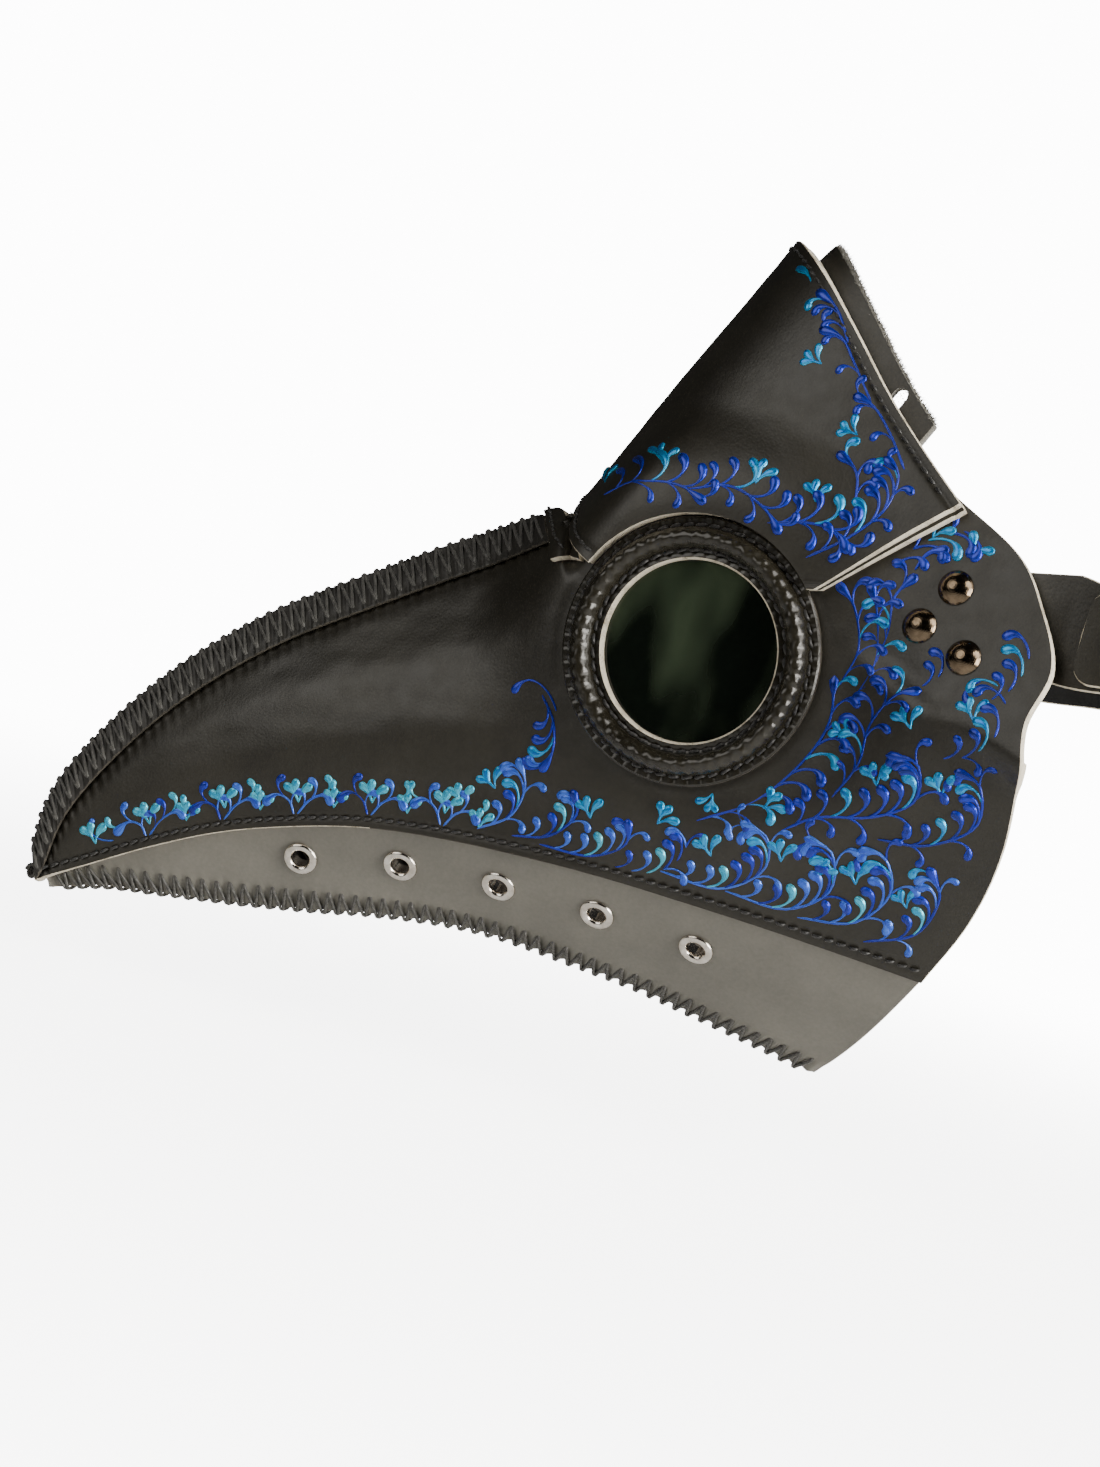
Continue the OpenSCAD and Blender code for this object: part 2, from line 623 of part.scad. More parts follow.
// Crown strap: fixed inside the forehead, folded down along its left half, with
// its back edge standing just above the forehead's edge.
crown_proud = 6;
crown_out = -1.2;
CROWN = function (s, t) brow(s, curve(HIGH_RISE, min(1, s)) + (crown_proud - crown_w * (0.5 - t)) / kz);
module crown_strap() {
    color([0.16, 0.16, 0.15]) difference() {
        sheet(CROWN, steps(0.24, 0.86, 18), steps(-0.5, 0.5, 4), crown_out - 3, crown_out);
        crown_slot();
    }
}
module crown_slot() {
    p = CROWN(0.77, 0.1);
    translate(p) rotate([-lean, 0, 0]) aim_x(grid_n(CROWN, 0.77, 0.1)) 
        cube([20, 4, crown_w - 7], center = true);
}
module aim_x(n) rotate([0, 0, atan2(n.y, n.x)]) children();
module crown_strap_root() {
    color([0.16, 0.16, 0.15]) difference() {
        sheet(CROWN, steps(0.02, 0.2, 6), steps(-0.5, 0.1, 3), crown_out - 3, crown_out);
        at_crown_rivet() cylinder(r = rivet_post_r + hole_gap, h = 20, center = true);
    }
}
module at_crown_rivet() {
    p = CROWN(0.11, -0.3);
    translate(p) aim(grid_n(CROWN, 0.11, -0.3)) children();
}
module crown_strap_rivet() {
    color([0.45, 0.4, 0.34]) at_crown_rivet() translate([0, 0, crown_out - 3 - cap_gap])
        rotate([180, 0, 0]) rivet(4);
}

SIDE = function (u, v) side(u, v);
JAW = function (u, w) jaw(u, w);
BROW = function (e, f) brow_face(e, f);

left_side_panel();
right_side_panel();
left_jaw_panel();
right_jaw_panel();
forehead_panel();
forehead_lining();
nose_bridge_patch();
ridge_binding();
ridge_thread();
keel_thread();
left_eye_ring();
right_eye_ring();
left_ring_padding();
right_ring_padding();
left_lens();
right_lens();
left_lens_retainer();
right_lens_retainer();
left_eyelets();
right_eyelets();
left_eyelet_washers();
right_eyelet_washers();
left_rivets();
right_rivets();
left_rivet_backs();
right_rivet_backs();
left_strap_anchor();
right_strap_anchor();
left_strap_tab();
right_strap_tab();
left_strap();
right_strap();
left_strap_rivets();
right_strap_rivets();
buckle_frame();
buckle_prong();
strap_keeper();
crown_strap_root();
crown_strap();
crown_strap_rivet();
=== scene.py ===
"""Plague doctor mask: leather, stitching, eye rings, fittings, straps and painted vines on its frame."""

import json
import math

import bmesh
import bpy
import numpy as np
from mathutils import Matrix, Vector

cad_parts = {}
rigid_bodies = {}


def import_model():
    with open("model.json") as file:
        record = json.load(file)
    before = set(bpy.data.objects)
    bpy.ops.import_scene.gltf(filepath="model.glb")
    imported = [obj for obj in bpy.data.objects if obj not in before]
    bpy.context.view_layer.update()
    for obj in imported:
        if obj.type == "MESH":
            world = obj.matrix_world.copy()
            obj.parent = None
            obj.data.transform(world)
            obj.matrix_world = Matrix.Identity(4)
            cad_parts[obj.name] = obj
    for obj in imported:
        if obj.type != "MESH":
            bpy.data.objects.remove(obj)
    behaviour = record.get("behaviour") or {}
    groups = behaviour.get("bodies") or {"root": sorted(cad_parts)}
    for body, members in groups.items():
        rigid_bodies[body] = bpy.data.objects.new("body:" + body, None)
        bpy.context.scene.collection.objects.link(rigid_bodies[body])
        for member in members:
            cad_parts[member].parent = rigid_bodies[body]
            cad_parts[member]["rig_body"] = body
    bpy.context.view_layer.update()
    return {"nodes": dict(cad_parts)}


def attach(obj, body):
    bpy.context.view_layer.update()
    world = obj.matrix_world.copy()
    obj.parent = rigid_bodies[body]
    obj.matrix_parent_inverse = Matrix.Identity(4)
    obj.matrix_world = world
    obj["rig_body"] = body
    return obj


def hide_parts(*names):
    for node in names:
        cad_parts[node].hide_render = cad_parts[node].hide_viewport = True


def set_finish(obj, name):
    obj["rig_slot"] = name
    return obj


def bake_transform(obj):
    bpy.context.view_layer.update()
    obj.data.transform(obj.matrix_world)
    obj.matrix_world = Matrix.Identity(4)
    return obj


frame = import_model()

bl_info = {
    "name": "Plague Doctor Mask",
    "version": (1, 0, 0),
    "blender": (4, 5, 0),
    "location": "View3D > Sidebar > Mask",
    "description": "Builds the leather, stitches, rings, straps and painted vines of a plague doctor mask",
    "category": "Add Mesh",
}

MM = 0.001
LEATHER_T = 2.6
LAYER_GAP = 0.3
EDGE_X = LEATHER_T + 0.3
SEAT_GAP = 0.1
UP = np.array([0.0, 0.0, 1.0])

# ---------------------------------------------------------------- pattern of the panels, in millimetres

# Top edge of the left side panel, from the beak's tip along the ridge and on under the forehead.
TOP = [(EDGE_X, -172, -109), (EDGE_X, -170.5, -89), (EDGE_X, -160, -67), (EDGE_X, -143.5, -44),
       (EDGE_X, -122.5, -23), (EDGE_X, -99, -5.5), (EDGE_X, -74, 12), (EDGE_X, -50, 27),
       (16, -38, 27.5), (30, -22, 36), (42, 0, 45), (50, 27, 52), (54.5, 54, 56)]
RIDGE_END = 7 / 12
# Lower edge of the side panel: the seam on to the jaw panel.
TIP_X = 2 * (LEATHER_T + LAYER_GAP)
SEAM = [(TIP_X, -169, -115), (TIP_X + 1.7, -155, -106.5), (TIP_X + 4.8, -137, -95.5), (14.5, -117, -85),
        (18.5, -96, -77), (22, -75, -71), (25.5, -53, -67.5), (29, -30, -65.5), (32, -8, -64.5),
        (34.5, 14, -64.4), (37.5, 37, -64.6), (40.5, 60, -65.2), (43, 81, -66)]
# Back edge of the side panel, from the seam up to the temple.
BACK = [(43, 81, -66), (52, 87.5, -48), (62, 90, -30), (70, 88.5, -12), (73, 85.5, 4), (74, 88, 19),
        (68.5, 82, 33), (63, 73, 45), (54.5, 54, 56)]
# Middle line under the beak, where the two jaw panels meet.
KEEL = [(EDGE_X, y, z) for y, z in (
    (-168, -117.5), (-150, -111.5), (-130, -108), (-110, -104.5), (-90, -100.5), (-70, -96), (-48, -92.5),
    (-30, -91.8), (-12, -92.8), (6, -94), (24, -96.5), (43, -99.3), (62, -102.5))]
# The forehead is a sheet of straight lines that lean back from the front line.
LEAN = math.radians(24.2)
FRONT_Y, FRONT_Z = -41, 28
BEHIND_MAX = 80
LOW_RISE = [4, -1, -7, -5, 5, 24.5]
HIGH_RISE = [96, 94.5, 90, 82.5, 72.5, 63]
LOW_REACH = 0.9

EYE_X = 43
EYE_TURN = math.radians(13)
EYE_DROP = math.radians(-3)
GLASS_R = 25
APERTURE_R = 24
RING_W = 11.5
RING_H = 6.5
RING_R = APERTURE_R + RING_W
FLAT_R = RING_R + 2
BLEND_R = RING_R + 30


def unit(v):
    v = np.asarray(v, float)
    return v / np.linalg.norm(v, axis=-1, keepdims=True)


EYE_N = unit([math.cos(EYE_TURN), -math.sin(EYE_TURN), math.tan(EYE_DROP)])
EYE = np.array([EYE_X, 0.0, 0.0])


def curve(points, t):
    """Smooth curve through points; t runs from 0 to 1."""
    points = np.asarray(points, float)
    flat = points.reshape(len(points), -1)
    q = np.vstack([2 * flat[0] - flat[1], flat, 2 * flat[-1] - flat[-2]])
    n = len(points) - 1
    s = np.asarray(t, float) * n
    i = np.clip(np.floor(s).astype(int), 0, n - 1)
    f = (s - i)[..., None]
    a, b, c, d = q[i], q[i + 1], q[i + 2], q[i + 3]
    r = 0.5 * (2 * b + (c - a) * f + (2 * a - 5 * b + 4 * c - d) * f**2 + (3 * b - a - 3 * c + d) * f**3)
    return r if points.ndim > 1 else r[..., 0]


def ease(a, b, t):
    k = np.clip((t - a) / (b - a), 0, 1)
    return k * k * (3 - 2 * k)


def section(behind):
    """Half width of the forehead: a blunt nose that flares at the temples."""
    behind = np.asarray(behind, float)
    return 44 * np.tanh(np.sqrt(np.maximum(behind, 0)) / 4.2) + 0.0021 * behind * behind


def behind_at(y, z):
    return (y - FRONT_Y) * math.cos(LEAN) - (z - FRONT_Z) * math.sin(LEAN)


def under_brow(y, z):
    """1 where the side panel lies under the forehead, 0 where it is free."""
    behind = behind_at(y, z)
    rise = (y - FRONT_Y) * math.sin(LEAN) + (z - FRONT_Z) * math.cos(LEAN)
    e = np.minimum(1, np.sqrt(np.maximum(behind, 0) / BEHIND_MAX) / LOW_REACH)
    return ease(-9, -1.5, rise - curve(LOW_RISE, e)) * ease(-1, 1, behind)


def seated(x, y, z, keep=1.0):
    """Draws a surface on to the flat seat round the glass."""
    m = keep * (1 - ease(FLAT_R, BLEND_R, np.hypot(y, z)))
    seat = EYE_X - (EYE_N[1] * y + EYE_N[2] * z) / EYE_N[0]
    return np.stack([(np.abs(x) * (1 - m) + seat * m) * np.where(x < 0, -1, 1), y, z], -1)


def side(u, v):
    """Outer face of the left side panel: u runs back along the beak, v up from the seam."""
    u, v = np.broadcast_arrays(np.asarray(u, float), np.asarray(v, float))
    w = v[..., None]
    bow = curve(BACK, v) - (np.array(SEAM[-1]) * (1 - w) + np.array(TOP[-1]) * w)
    p = curve(SEAM, u) * (1 - w) + curve(TOP, u) * w + bow * np.stack([u, u * u, u * u], -1)
    y, z = p[..., 1], p[..., 2]
    under, behind = under_brow(y, z), behind_at(y, z)
    x = p[..., 0] * (1 - under) + np.maximum(EDGE_X, section(behind)) * under
    return seated(x, y, z, 1 - under + ease(1, 14, behind) * under)


def normal(surface, u, v, d=0.004):
    return unit(np.cross(surface(u + d, v) - surface(u - d, v), surface(u, v + d) - surface(u, v - d)))


LAP = 7 / 118


def jaw(u, w):
    """Outer face of the left jaw panel: w is 0 at the seam, 1 at the keel, negative under the side."""
    u, w = np.broadcast_arrays(np.asarray(u, float), np.asarray(w, float))
    drop = LEATHER_T + LAYER_GAP
    a = side(u, 0 * u) - drop * normal(side, u, 0 * u + 0.01)
    up = side(u, 0 * u + LAP) - drop * normal(side, u, 0 * u + LAP)
    k = w[..., None]
    low = a * (1 - k) + curve(KEEL, u) * k - UP * (2.5 * np.sin(math.pi * w) * u)[..., None]
    return np.where(k < 0, a * (1 + k) - up * k, low)


def brow(s, rise):
    """Inner face of the forehead; s is 0 on the front line and 1 at the left temple."""
    behind = BEHIND_MAX * s * s
    x = section(behind) * np.where(s < 0, -1, 1)
    y = FRONT_Y + behind * math.cos(LEAN) + rise * math.sin(LEAN)
    z = FRONT_Z - behind * math.sin(LEAN) + rise * math.cos(LEAN)
    return seated(x, y, z, ease(1, 14, behind))


def brow_face(e, f):
    e, f = np.broadcast_arrays(np.asarray(e, float), np.asarray(f, float))
    low, high = curve(LOW_RISE, np.abs(e)), curve(HIGH_RISE, np.abs(e))
    return brow(e * (LOW_REACH * (1 - f) + f), low * (1 - f) + high * f)


def locate(surface, y, z, guess, turns=12):
    """The u and v at which a surface of the left side has the given y and z."""
    y, z = np.asarray(y, float), np.asarray(z, float)
    u, v = np.full(y.shape, guess[0], float), np.full(y.shape, guess[1], float)
    if surface is side:
        u, v = np.clip((y + 170) / 255, 0.03, 0.97), np.clip((z + 66) / 118, 0.05, 0.9)
    d = 0.002
    for _ in range(turns):
        p = surface(u, v)
        a, b = (surface(u + d, v) - p) / d, (surface(u, v + d) - p) / d
        g = a[..., 1] * b[..., 2] - a[..., 2] * b[..., 1]
        ey, ez = y - p[..., 1], z - p[..., 2]
        u = np.clip(u + np.clip((ey * b[..., 2] - ez * b[..., 1]) / g, -0.2, 0.2), -0.02, 1.02)
        v = np.clip(v + np.clip((a[..., 1] * ez - a[..., 2] * ey) / g, -0.2, 0.2), -0.02, 1.02)
    return u, v


def ripple(p, size, seed):
    """Gentle unevenness between about -1 and 1, with waves about "size" millimetres long."""
    rng = np.random.default_rng(seed)
    total = np.zeros(p.shape[:-1])
    for _ in range(7):
        way = unit(rng.normal(size=3)) * 2 * math.pi / (size * rng.uniform(0.7, 1.6))
        total += np.sin(p @ way + rng.uniform(0, 2 * math.pi))
    return total / 3.5


# ---------------------------------------------------------------- mesh building

def piece(name, points, faces, finishes, kinds=None, crease=35):
    """A mesh piece from points in millimetres; kinds says which finish each face has."""
    mesh = bpy.data.meshes.new(name)
    mesh.from_pydata((np.asarray(points, float).reshape(-1, 3) * MM).tolist(), [], faces)
    for finish in finishes:
        mesh.materials.append(finish)
    if kinds is not None:
        mesh.polygons.foreach_set("material_index", np.asarray(kinds, np.int32))
    obj = bpy.data.objects.new(name, mesh)
    bpy.context.scene.collection.objects.link(obj)
    tidy_mesh(obj, crease)
    return obj


def tidy_mesh(obj, crease=35):
    bm = bmesh.new()
    bm.from_mesh(obj.data)
    bmesh.ops.recalc_face_normals(bm, faces=bm.faces)
    bm.to_mesh(obj.data)
    bm.free()
    obj.data.shade_smooth()
    obj.data.set_sharp_from_angle(angle=math.radians(crease))


def quads(index):
    """Faces of a net of point numbers."""
    a, b, c, d = index[:-1, :-1], index[1:, :-1], index[1:, 1:], index[:-1, 1:]
    return np.stack([a, b, c, d], -1).reshape(-1, 4)


GRAIN, FLESH, CUT, BURNISHED = range(4)


def leather(name, outer, inner, finishes, bulge=0.35, edge_kind=None):
    """A closed piece of leather between two nets of points, with a rounded cut edge all round it."""
    n, m, _ = outer.shape
    size = n * m
    index = np.arange(size).reshape(n, m)
    ring = [(i, 0) for i in range(n)] + [(n - 1, j) for j in range(1, m)]
    ring += [(i, m - 1) for i in range(n - 2, -1, -1)] + [(0, j) for j in range(m - 2, 0, -1)]
    ring = np.array(ring)
    i, j = ring[:, 0], ring[:, 1]
    inset = outer[np.clip(i, 1, n - 2), np.clip(j, 1, m - 2)]
    away = unit(outer[i, j] - inset)
    rows = [outer[i, j] + (inner[i, j] - outer[i, j]) * t + away * bulge * s
            for t, s in ((0.12, 0.7), (0.36, 1.0), (0.64, 1.0), (0.88, 0.7))]
    points = np.vstack([outer.reshape(-1, 3), inner.reshape(-1, 3)] + rows)
    k = len(ring)
    loops = [index[i, j]] + [2 * size + r * k + np.arange(k) for r in range(len(rows))] + [size + index[i, j]]
    rim = quads(np.array([np.append(loop, loop[0]) for loop in loops]))
    top, bottom = quads(index), quads(index)[:, ::-1] + size
    kinds = np.concatenate([np.full(len(top), GRAIN), np.full(len(bottom), FLESH), np.full(len(rim), CUT)])
    if edge_kind is not None:
        kind = edge_kind(i, j)
        kinds[-len(rim):] = np.tile(kind, len(loops) - 1)
    return piece(name, points, np.vstack([top, bottom, rim]).tolist(), finishes, kinds)


def sheet_nets(surface, us, vs, low, high, relief=None):
    """Outer and inner nets of a sheet lying on a surface from "low" to "high" above it."""
    u, v = np.meshgrid(us, vs, indexing="ij")
    p, n = surface(u, v), normal(surface, u, v)
    lift = 0 if relief is None else relief(u, v, p)[..., None]
    return p + n * (high + lift), p + n * (low + lift)


def tubes(centres, wide, high, ups, sides=8):
    """Points, faces and a (across, along) pair for each point, of many tubes that end in points.
    centres and ups are (tubes, rings, 3); wide and high are the half sizes at each ring."""
    k, r, _ = centres.shape
    along = unit(np.gradient(centres, axis=1))
    across = unit(np.cross(along, ups))
    ups = np.cross(across, along)
    a = np.arange(sides) * 2 * math.pi / sides
    out = (across[:, :, None] * (wide[:, :, None] * np.cos(a))[..., None]
           + ups[:, :, None] * (high[:, :, None] * np.sin(a))[..., None])
    points = centres[:, :, None] + out
    index = np.arange(k * r * sides).reshape(k, r, sides)
    faces = []
    for t in range(k):
        net = np.concatenate([index[t], index[t][:, :1]], 1)
        faces += quads(net).tolist()
        faces += [index[t, 0][::-1].tolist(), index[t, -1].tolist()]
    share = np.broadcast_to(np.abs(np.cos(a)), (k, r, sides))
    run = np.broadcast_to(np.linspace(0, 1, r)[None, :, None], (k, r, sides))
    return points.reshape(-1, 3), faces, np.stack([share, run], -1).reshape(-1, 2)


def resample(path, ups, step):
    """Even steps along a path of points, with the direction that faces out at each."""
    lengths = np.append(0, np.cumsum(np.linalg.norm(np.diff(path, axis=0), axis=1)))
    count = max(2, int(round(lengths[-1] / step)))
    at = (np.arange(count) + 0.5) / count * lengths[-1]
    def take(values, places):
        return np.stack([np.interp(places, lengths, values[:, i]) for i in range(3)], -1)
    centre, ahead, behind = take(path, at), take(path, at + 0.3), take(path, at - 0.3)
    return centre, unit(ahead - behind), unit(take(ups, at))


def stitch_row(name, path, ups, finish, body="mask", pitch=3.5, length=2.7, radius=0.42, lift=0.35, slant=8,
               seed=1):
    """A row of saddle stitches, each a short bent thread whose two ends dive into the leather."""
    rng = np.random.default_rng(seed)
    c, along, up = resample(path, ups, pitch)
    across = np.cross(up, along)
    turn = np.radians(slant + rng.uniform(-5, 5, len(c)))[:, None]
    way = along * np.cos(turn) + across * np.sin(turn)
    t = np.linspace(-1, 1, 9)[None, :, None]
    half = (length / 2 * rng.uniform(0.93, 1.05, len(c)))[:, None, None]
    centres = c[:, None] + way[:, None] * t * half + up[:, None] * (lift * (1 - t**2) - 0.3 * t**4 + 0.02)
    ring = np.broadcast_to(radius * (1 - 0.45 * np.abs(t[..., 0]) ** 5), centres.shape[:2])
    points, faces, _ = tubes(centres, ring, ring * 0.85, np.broadcast_to(up[:, None], centres.shape))
    row = piece(name, points, faces, [finish], crease=60)
    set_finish(row, "thread")
    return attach(row, body)


def mirror_piece(obj, name):
    """The same piece for the other side of the mask."""
    mesh = obj.data.copy()
    mesh.name = name
    mesh.transform(Matrix.Scale(-1, 4, (1, 0, 0)))
    mesh.flip_normals()
    twin = bpy.data.objects.new(name, mesh)
    bpy.context.scene.collection.objects.link(twin)
    return twin


def lathe(profile, steps, relief=None):
    """Points and faces of a closed ring with this (radius, height) outline. relief takes (angle, radius)."""
    a = np.arange(steps) * 2 * math.pi / steps
    r, h = np.array(profile).T
    r, h = np.broadcast_to(r[None], (steps, len(r))), np.broadcast_to(h[None], (steps, len(h)))
    if relief is not None:
        h = h + relief(a[:, None], r)
    points = np.stack([r * np.cos(a)[:, None], r * np.sin(a)[:, None], h], -1)
    index = np.arange(points.size // 3).reshape(steps, -1)
    index = np.vstack([index, index[:1]])
    index = np.hstack([index, index[:, :1]])
    return points.reshape(-1, 3), quads(index)


def placed(points, at, n):
    """Points drawn about the Z axis, set at a place and turned to face along n."""
    n = unit(n)
    x = unit(np.cross(UP, n))
    return at + points @ np.array([x, np.cross(n, x), n])


def cut(obj, cutters):
    """Takes the cutters' shapes out of a piece and removes the cutters."""
    for cutter in cutters:
        mod = obj.modifiers.new("hole", "BOOLEAN")
        mod.operation, mod.object, mod.solver = "DIFFERENCE", cutter, "MANIFOLD"
    graph = bpy.context.evaluated_depsgraph_get()
    mesh = bpy.data.meshes.new_from_object(obj.evaluated_get(graph))
    if len(mesh.polygons) < 100:
        raise RuntimeError(f"{obj.name} was lost when its holes were cut")
    obj.modifiers.clear()
    obj.data = mesh
    for cutter in cutters:
        bpy.data.objects.remove(cutter)
    mesh.set_sharp_from_angle(angle=math.radians(35))


def plug(at, n, radius, half, finishes, steps=48):
    """A cylinder that cuts a hole; its wall has the cut edge's finish."""
    points, _ = lathe([(radius, -half), (radius, half)], steps)
    points = placed(points, at, n).reshape(steps, 2, 3)
    index = np.arange(steps * 2).reshape(steps, 2)
    faces = [[*index[k], *index[(k + 1) % steps][::-1]] for k in range(steps)]
    faces += [index[:, 0].tolist(), index[::-1, 1].tolist()]
    return piece("plug", points, faces, finishes, [CUT] * len(faces))


def slot_plug(at, across, way, through, r, half, finishes, steps=48, start=0.0):
    """A long round-ended cutter: its length lies along way, and it reaches from -through to through."""
    outline = [at + across * r * math.cos(t) + way * (r * math.sin(t) + math.copysign(half, math.sin(t)))
               for t in np.linspace(0, 2 * math.pi, steps, endpoint=False) + start]
    points = [p + through * d for d in (-1, 1) for p in outline]
    faces = [[k, (k + 1) % steps, steps + (k + 1) % steps, steps + k] for k in range(steps)]
    faces += [list(range(steps))[::-1], list(range(steps, 2 * steps))]
    return piece("plug", points, faces, finishes, [CUT] * len(faces))


# ---------------------------------------------------------------- finishes

class Finish:
    """A material under construction: each call adds a node and links it."""

    def __init__(self, name, **values):
        self.material = bpy.data.materials.get(name) or bpy.data.materials.new(name)
        self.material.use_nodes = True
        self.tree = self.material.node_tree
        self.shader = self.tree.nodes["Principled BSDF"]
        self.where = self.add("ShaderNodeTexCoord").outputs["Object"]
        for socket, value in values.items():
            self.set(self.shader, socket.replace("_", " "), value)

    @staticmethod
    def set(node, socket, value):
        held = node.inputs[socket]
        held.default_value = (*value, 1) if held.type == "RGBA" and len(value) == 3 else value

    def add(self, kind, links=(), **settings):
        node = self.tree.nodes.new(kind)
        for key, value in settings.items():
            if hasattr(node, key):
                setattr(node, key, value)
            else:
                self.set(node, key.replace("_", " "), value)
        for socket, source in dict(links).items():
            self.tree.links.new(source, node.inputs[socket])
        return node

    def noise(self, size_mm, detail=3.0, stretch=None, roughness=0.55):
        where = self.where
        if stretch:
            where = self.add("ShaderNodeMapping", {"Vector": where}, Scale=stretch).outputs[0]
        return self.add("ShaderNodeTexNoise", {"Vector": where}, Scale=1000 / size_mm, Detail=detail,
                        Roughness=roughness).outputs[0]

    def cells(self, size_mm, feature="SMOOTH_F1"):
        return self.add("ShaderNodeTexVoronoi", {"Vector": self.where}, feature=feature,
                        Scale=1000 / size_mm).outputs[0]

    def ramp(self, source, *stops):
        node = self.add("ShaderNodeValToRGB", {"Fac": source})
        band = node.color_ramp
        while len(band.elements) < len(stops):
            band.elements.new(0.5)
        for element, (place, colour) in zip(band.elements, stops):
            element.position = place
            element.color = (*colour, 1) if hasattr(colour, "__len__") else (colour, colour, colour, 1)
        return node.outputs[0]

    def maths(self, operation, a, b):
        node = self.add("ShaderNodeMath", operation=operation)
        for socket, value in zip(node.inputs, (a, b)):
            if isinstance(value, (int, float)):
                socket.default_value = value
            else:
                self.tree.links.new(value, socket)
        return node.outputs[0]

    def bump(self, height, depth_mm, strength=1.0, under=None):
        node = self.add("ShaderNodeBump", {"Height": height}, Strength=strength, Distance=depth_mm * MM)
        if under is not None:
            self.tree.links.new(under, node.inputs["Normal"])
        return node.outputs[0]

    def wear(self, socket, source):
        self.tree.links.new(source, self.shader.inputs[socket])
        return self


def mixed(f, share, a, b):
    """One pattern laid over another: share of a, and the rest of b."""
    return f.maths("ADD", f.maths("MULTIPLY", a, share), f.maths("MULTIPLY", b, 1 - share))


def grain_leather(name, dark, light, gloss=(0.36, 0.52), grain=0.75, depth=0.05):
    """Smooth-finished hide: fine pebble grain, faint creases and uneven polish."""
    f = Finish(name, Specular_IOR_Level=0.5, Coat_Weight=0.12, Coat_Roughness=0.32)
    pebbles, creases, mottle = f.cells(grain), f.noise(5, 4), f.noise(26, 3)
    tone = mixed(f, 0.7, mottle, f.noise(1.1, 2))
    f.wear("Base Color", f.ramp(tone, (0.3, dark), (0.72, light)))
    f.wear("Roughness", f.ramp(mixed(f, 0.5, creases, mottle), (0.3, gloss[0]), (0.7, gloss[1])))
    fine = f.bump(pebbles, depth, 0.9)
    f.wear("Normal", f.bump(creases, 0.12, 0.55, under=f.bump(f.noise(0.35, 2), 0.02, 0.5, under=fine)))
    return f.material


def cut_edge(name, pale, deep):
    """The raw cut edge of the hide: pale fibre, lightly soiled."""
    f = Finish(name, Specular_IOR_Level=0.25)
    fibre, dirt = f.noise(0.45, 4), f.noise(4.5, 4, roughness=0.7)
    f.wear("Base Color", f.ramp(mixed(f, 0.35, fibre, dirt), (0.34, deep), (0.52, pale)))
    f.wear("Roughness", f.ramp(fibre, (0.3, 0.62), (0.7, 0.9)))
    f.wear("Normal", f.bump(fibre, 0.16, 0.8))
    return f.material


def flesh_side(name, dark, light, sheen=0.4):
    """The napped inner face of the hide."""
    f = Finish(name, Specular_IOR_Level=0.15, Sheen_Weight=sheen, Sheen_Roughness=0.5)
    nap, cloud = f.noise(0.28, 5, roughness=0.7), f.noise(9, 4)
    f.wear("Base Color", f.ramp(mixed(f, 0.5, nap, cloud), (0.35, dark), (0.65, light)))
    f.wear("Roughness", f.ramp(nap, (0.3, 0.85), (0.7, 1.0)))
    f.wear("Normal", f.bump(nap, 0.22, 0.8))
    return f.material


def thread_finish(name, colour, gloss=0.38):
    """Waxed thread: twisted plies with a dull shine."""
    f = Finish(name, Specular_IOR_Level=0.6, Sheen_Weight=0.15)
    twist = f.add("ShaderNodeTexWave", {"Vector": f.where}, bands_direction="DIAGONAL", Scale=420.0,
                  Distortion=1.5, Detail=2.0).outputs[1]
    shine = tuple(2.2 * c + 0.006 for c in colour)
    f.wear("Base Color", f.ramp(f.noise(1.4, 3), (0.3, colour), (0.75, shine)))
    f.wear("Roughness", f.ramp(twist, (0.2, gloss), (0.8, gloss + 0.25)))
    f.wear("Normal", f.bump(twist, 0.09, 0.8))
    return f.material


def plated(name, colour, gloss, tarnish):
    """Plated metal, faintly brushed by wear."""
    f = Finish(name, Metallic=1.0)
    rub, spots = f.noise(0.5, 4, stretch=(1, 0.15, 1)), f.noise(2.4, 4)
    f.wear("Base Color", f.ramp(spots, (0.35, tarnish), (0.62, colour)))
    f.wear("Roughness", f.ramp(rub, (0.25, gloss), (0.8, gloss + 0.16)))
    f.wear("Normal", f.bump(rub, 0.012, 0.4))
    return f.material


def glass_with_painted_reflection(name, dark, reflected_green):
    """Dark green glass with lighter green cloudy patches of painted reflection."""
    f = Finish(name, Specular_IOR_Level=0.34, Coat_Weight=0.25, Coat_Roughness=0.02)
    # The lighter green cloud patches are painted reflection, standing in for the room mirrored in the glass.
    cloud = f.noise(24, 2, stretch=(1, 1.0, 0.45))
    f.wear("Base Color", f.ramp(cloud, (0.48, dark), (0.66, reflected_green)))
    f.wear("Roughness", f.ramp(f.noise(3, 5), (0.3, 0.03), (0.8, 0.12)))
    return f.material


def moulded_plastic(name, colour):
    f = Finish(name, Specular_IOR_Level=0.4)
    f.wear("Base Color", f.ramp(f.noise(6, 3), (0.3, colour), (0.8, tuple(1.7 * c for c in colour))))
    f.wear("Roughness", f.ramp(f.noise(0.6, 3), (0.3, 0.48), (0.7, 0.62)))
    f.wear("Normal", f.bump(f.cells(0.5), 0.02, 0.5))
    return f.material


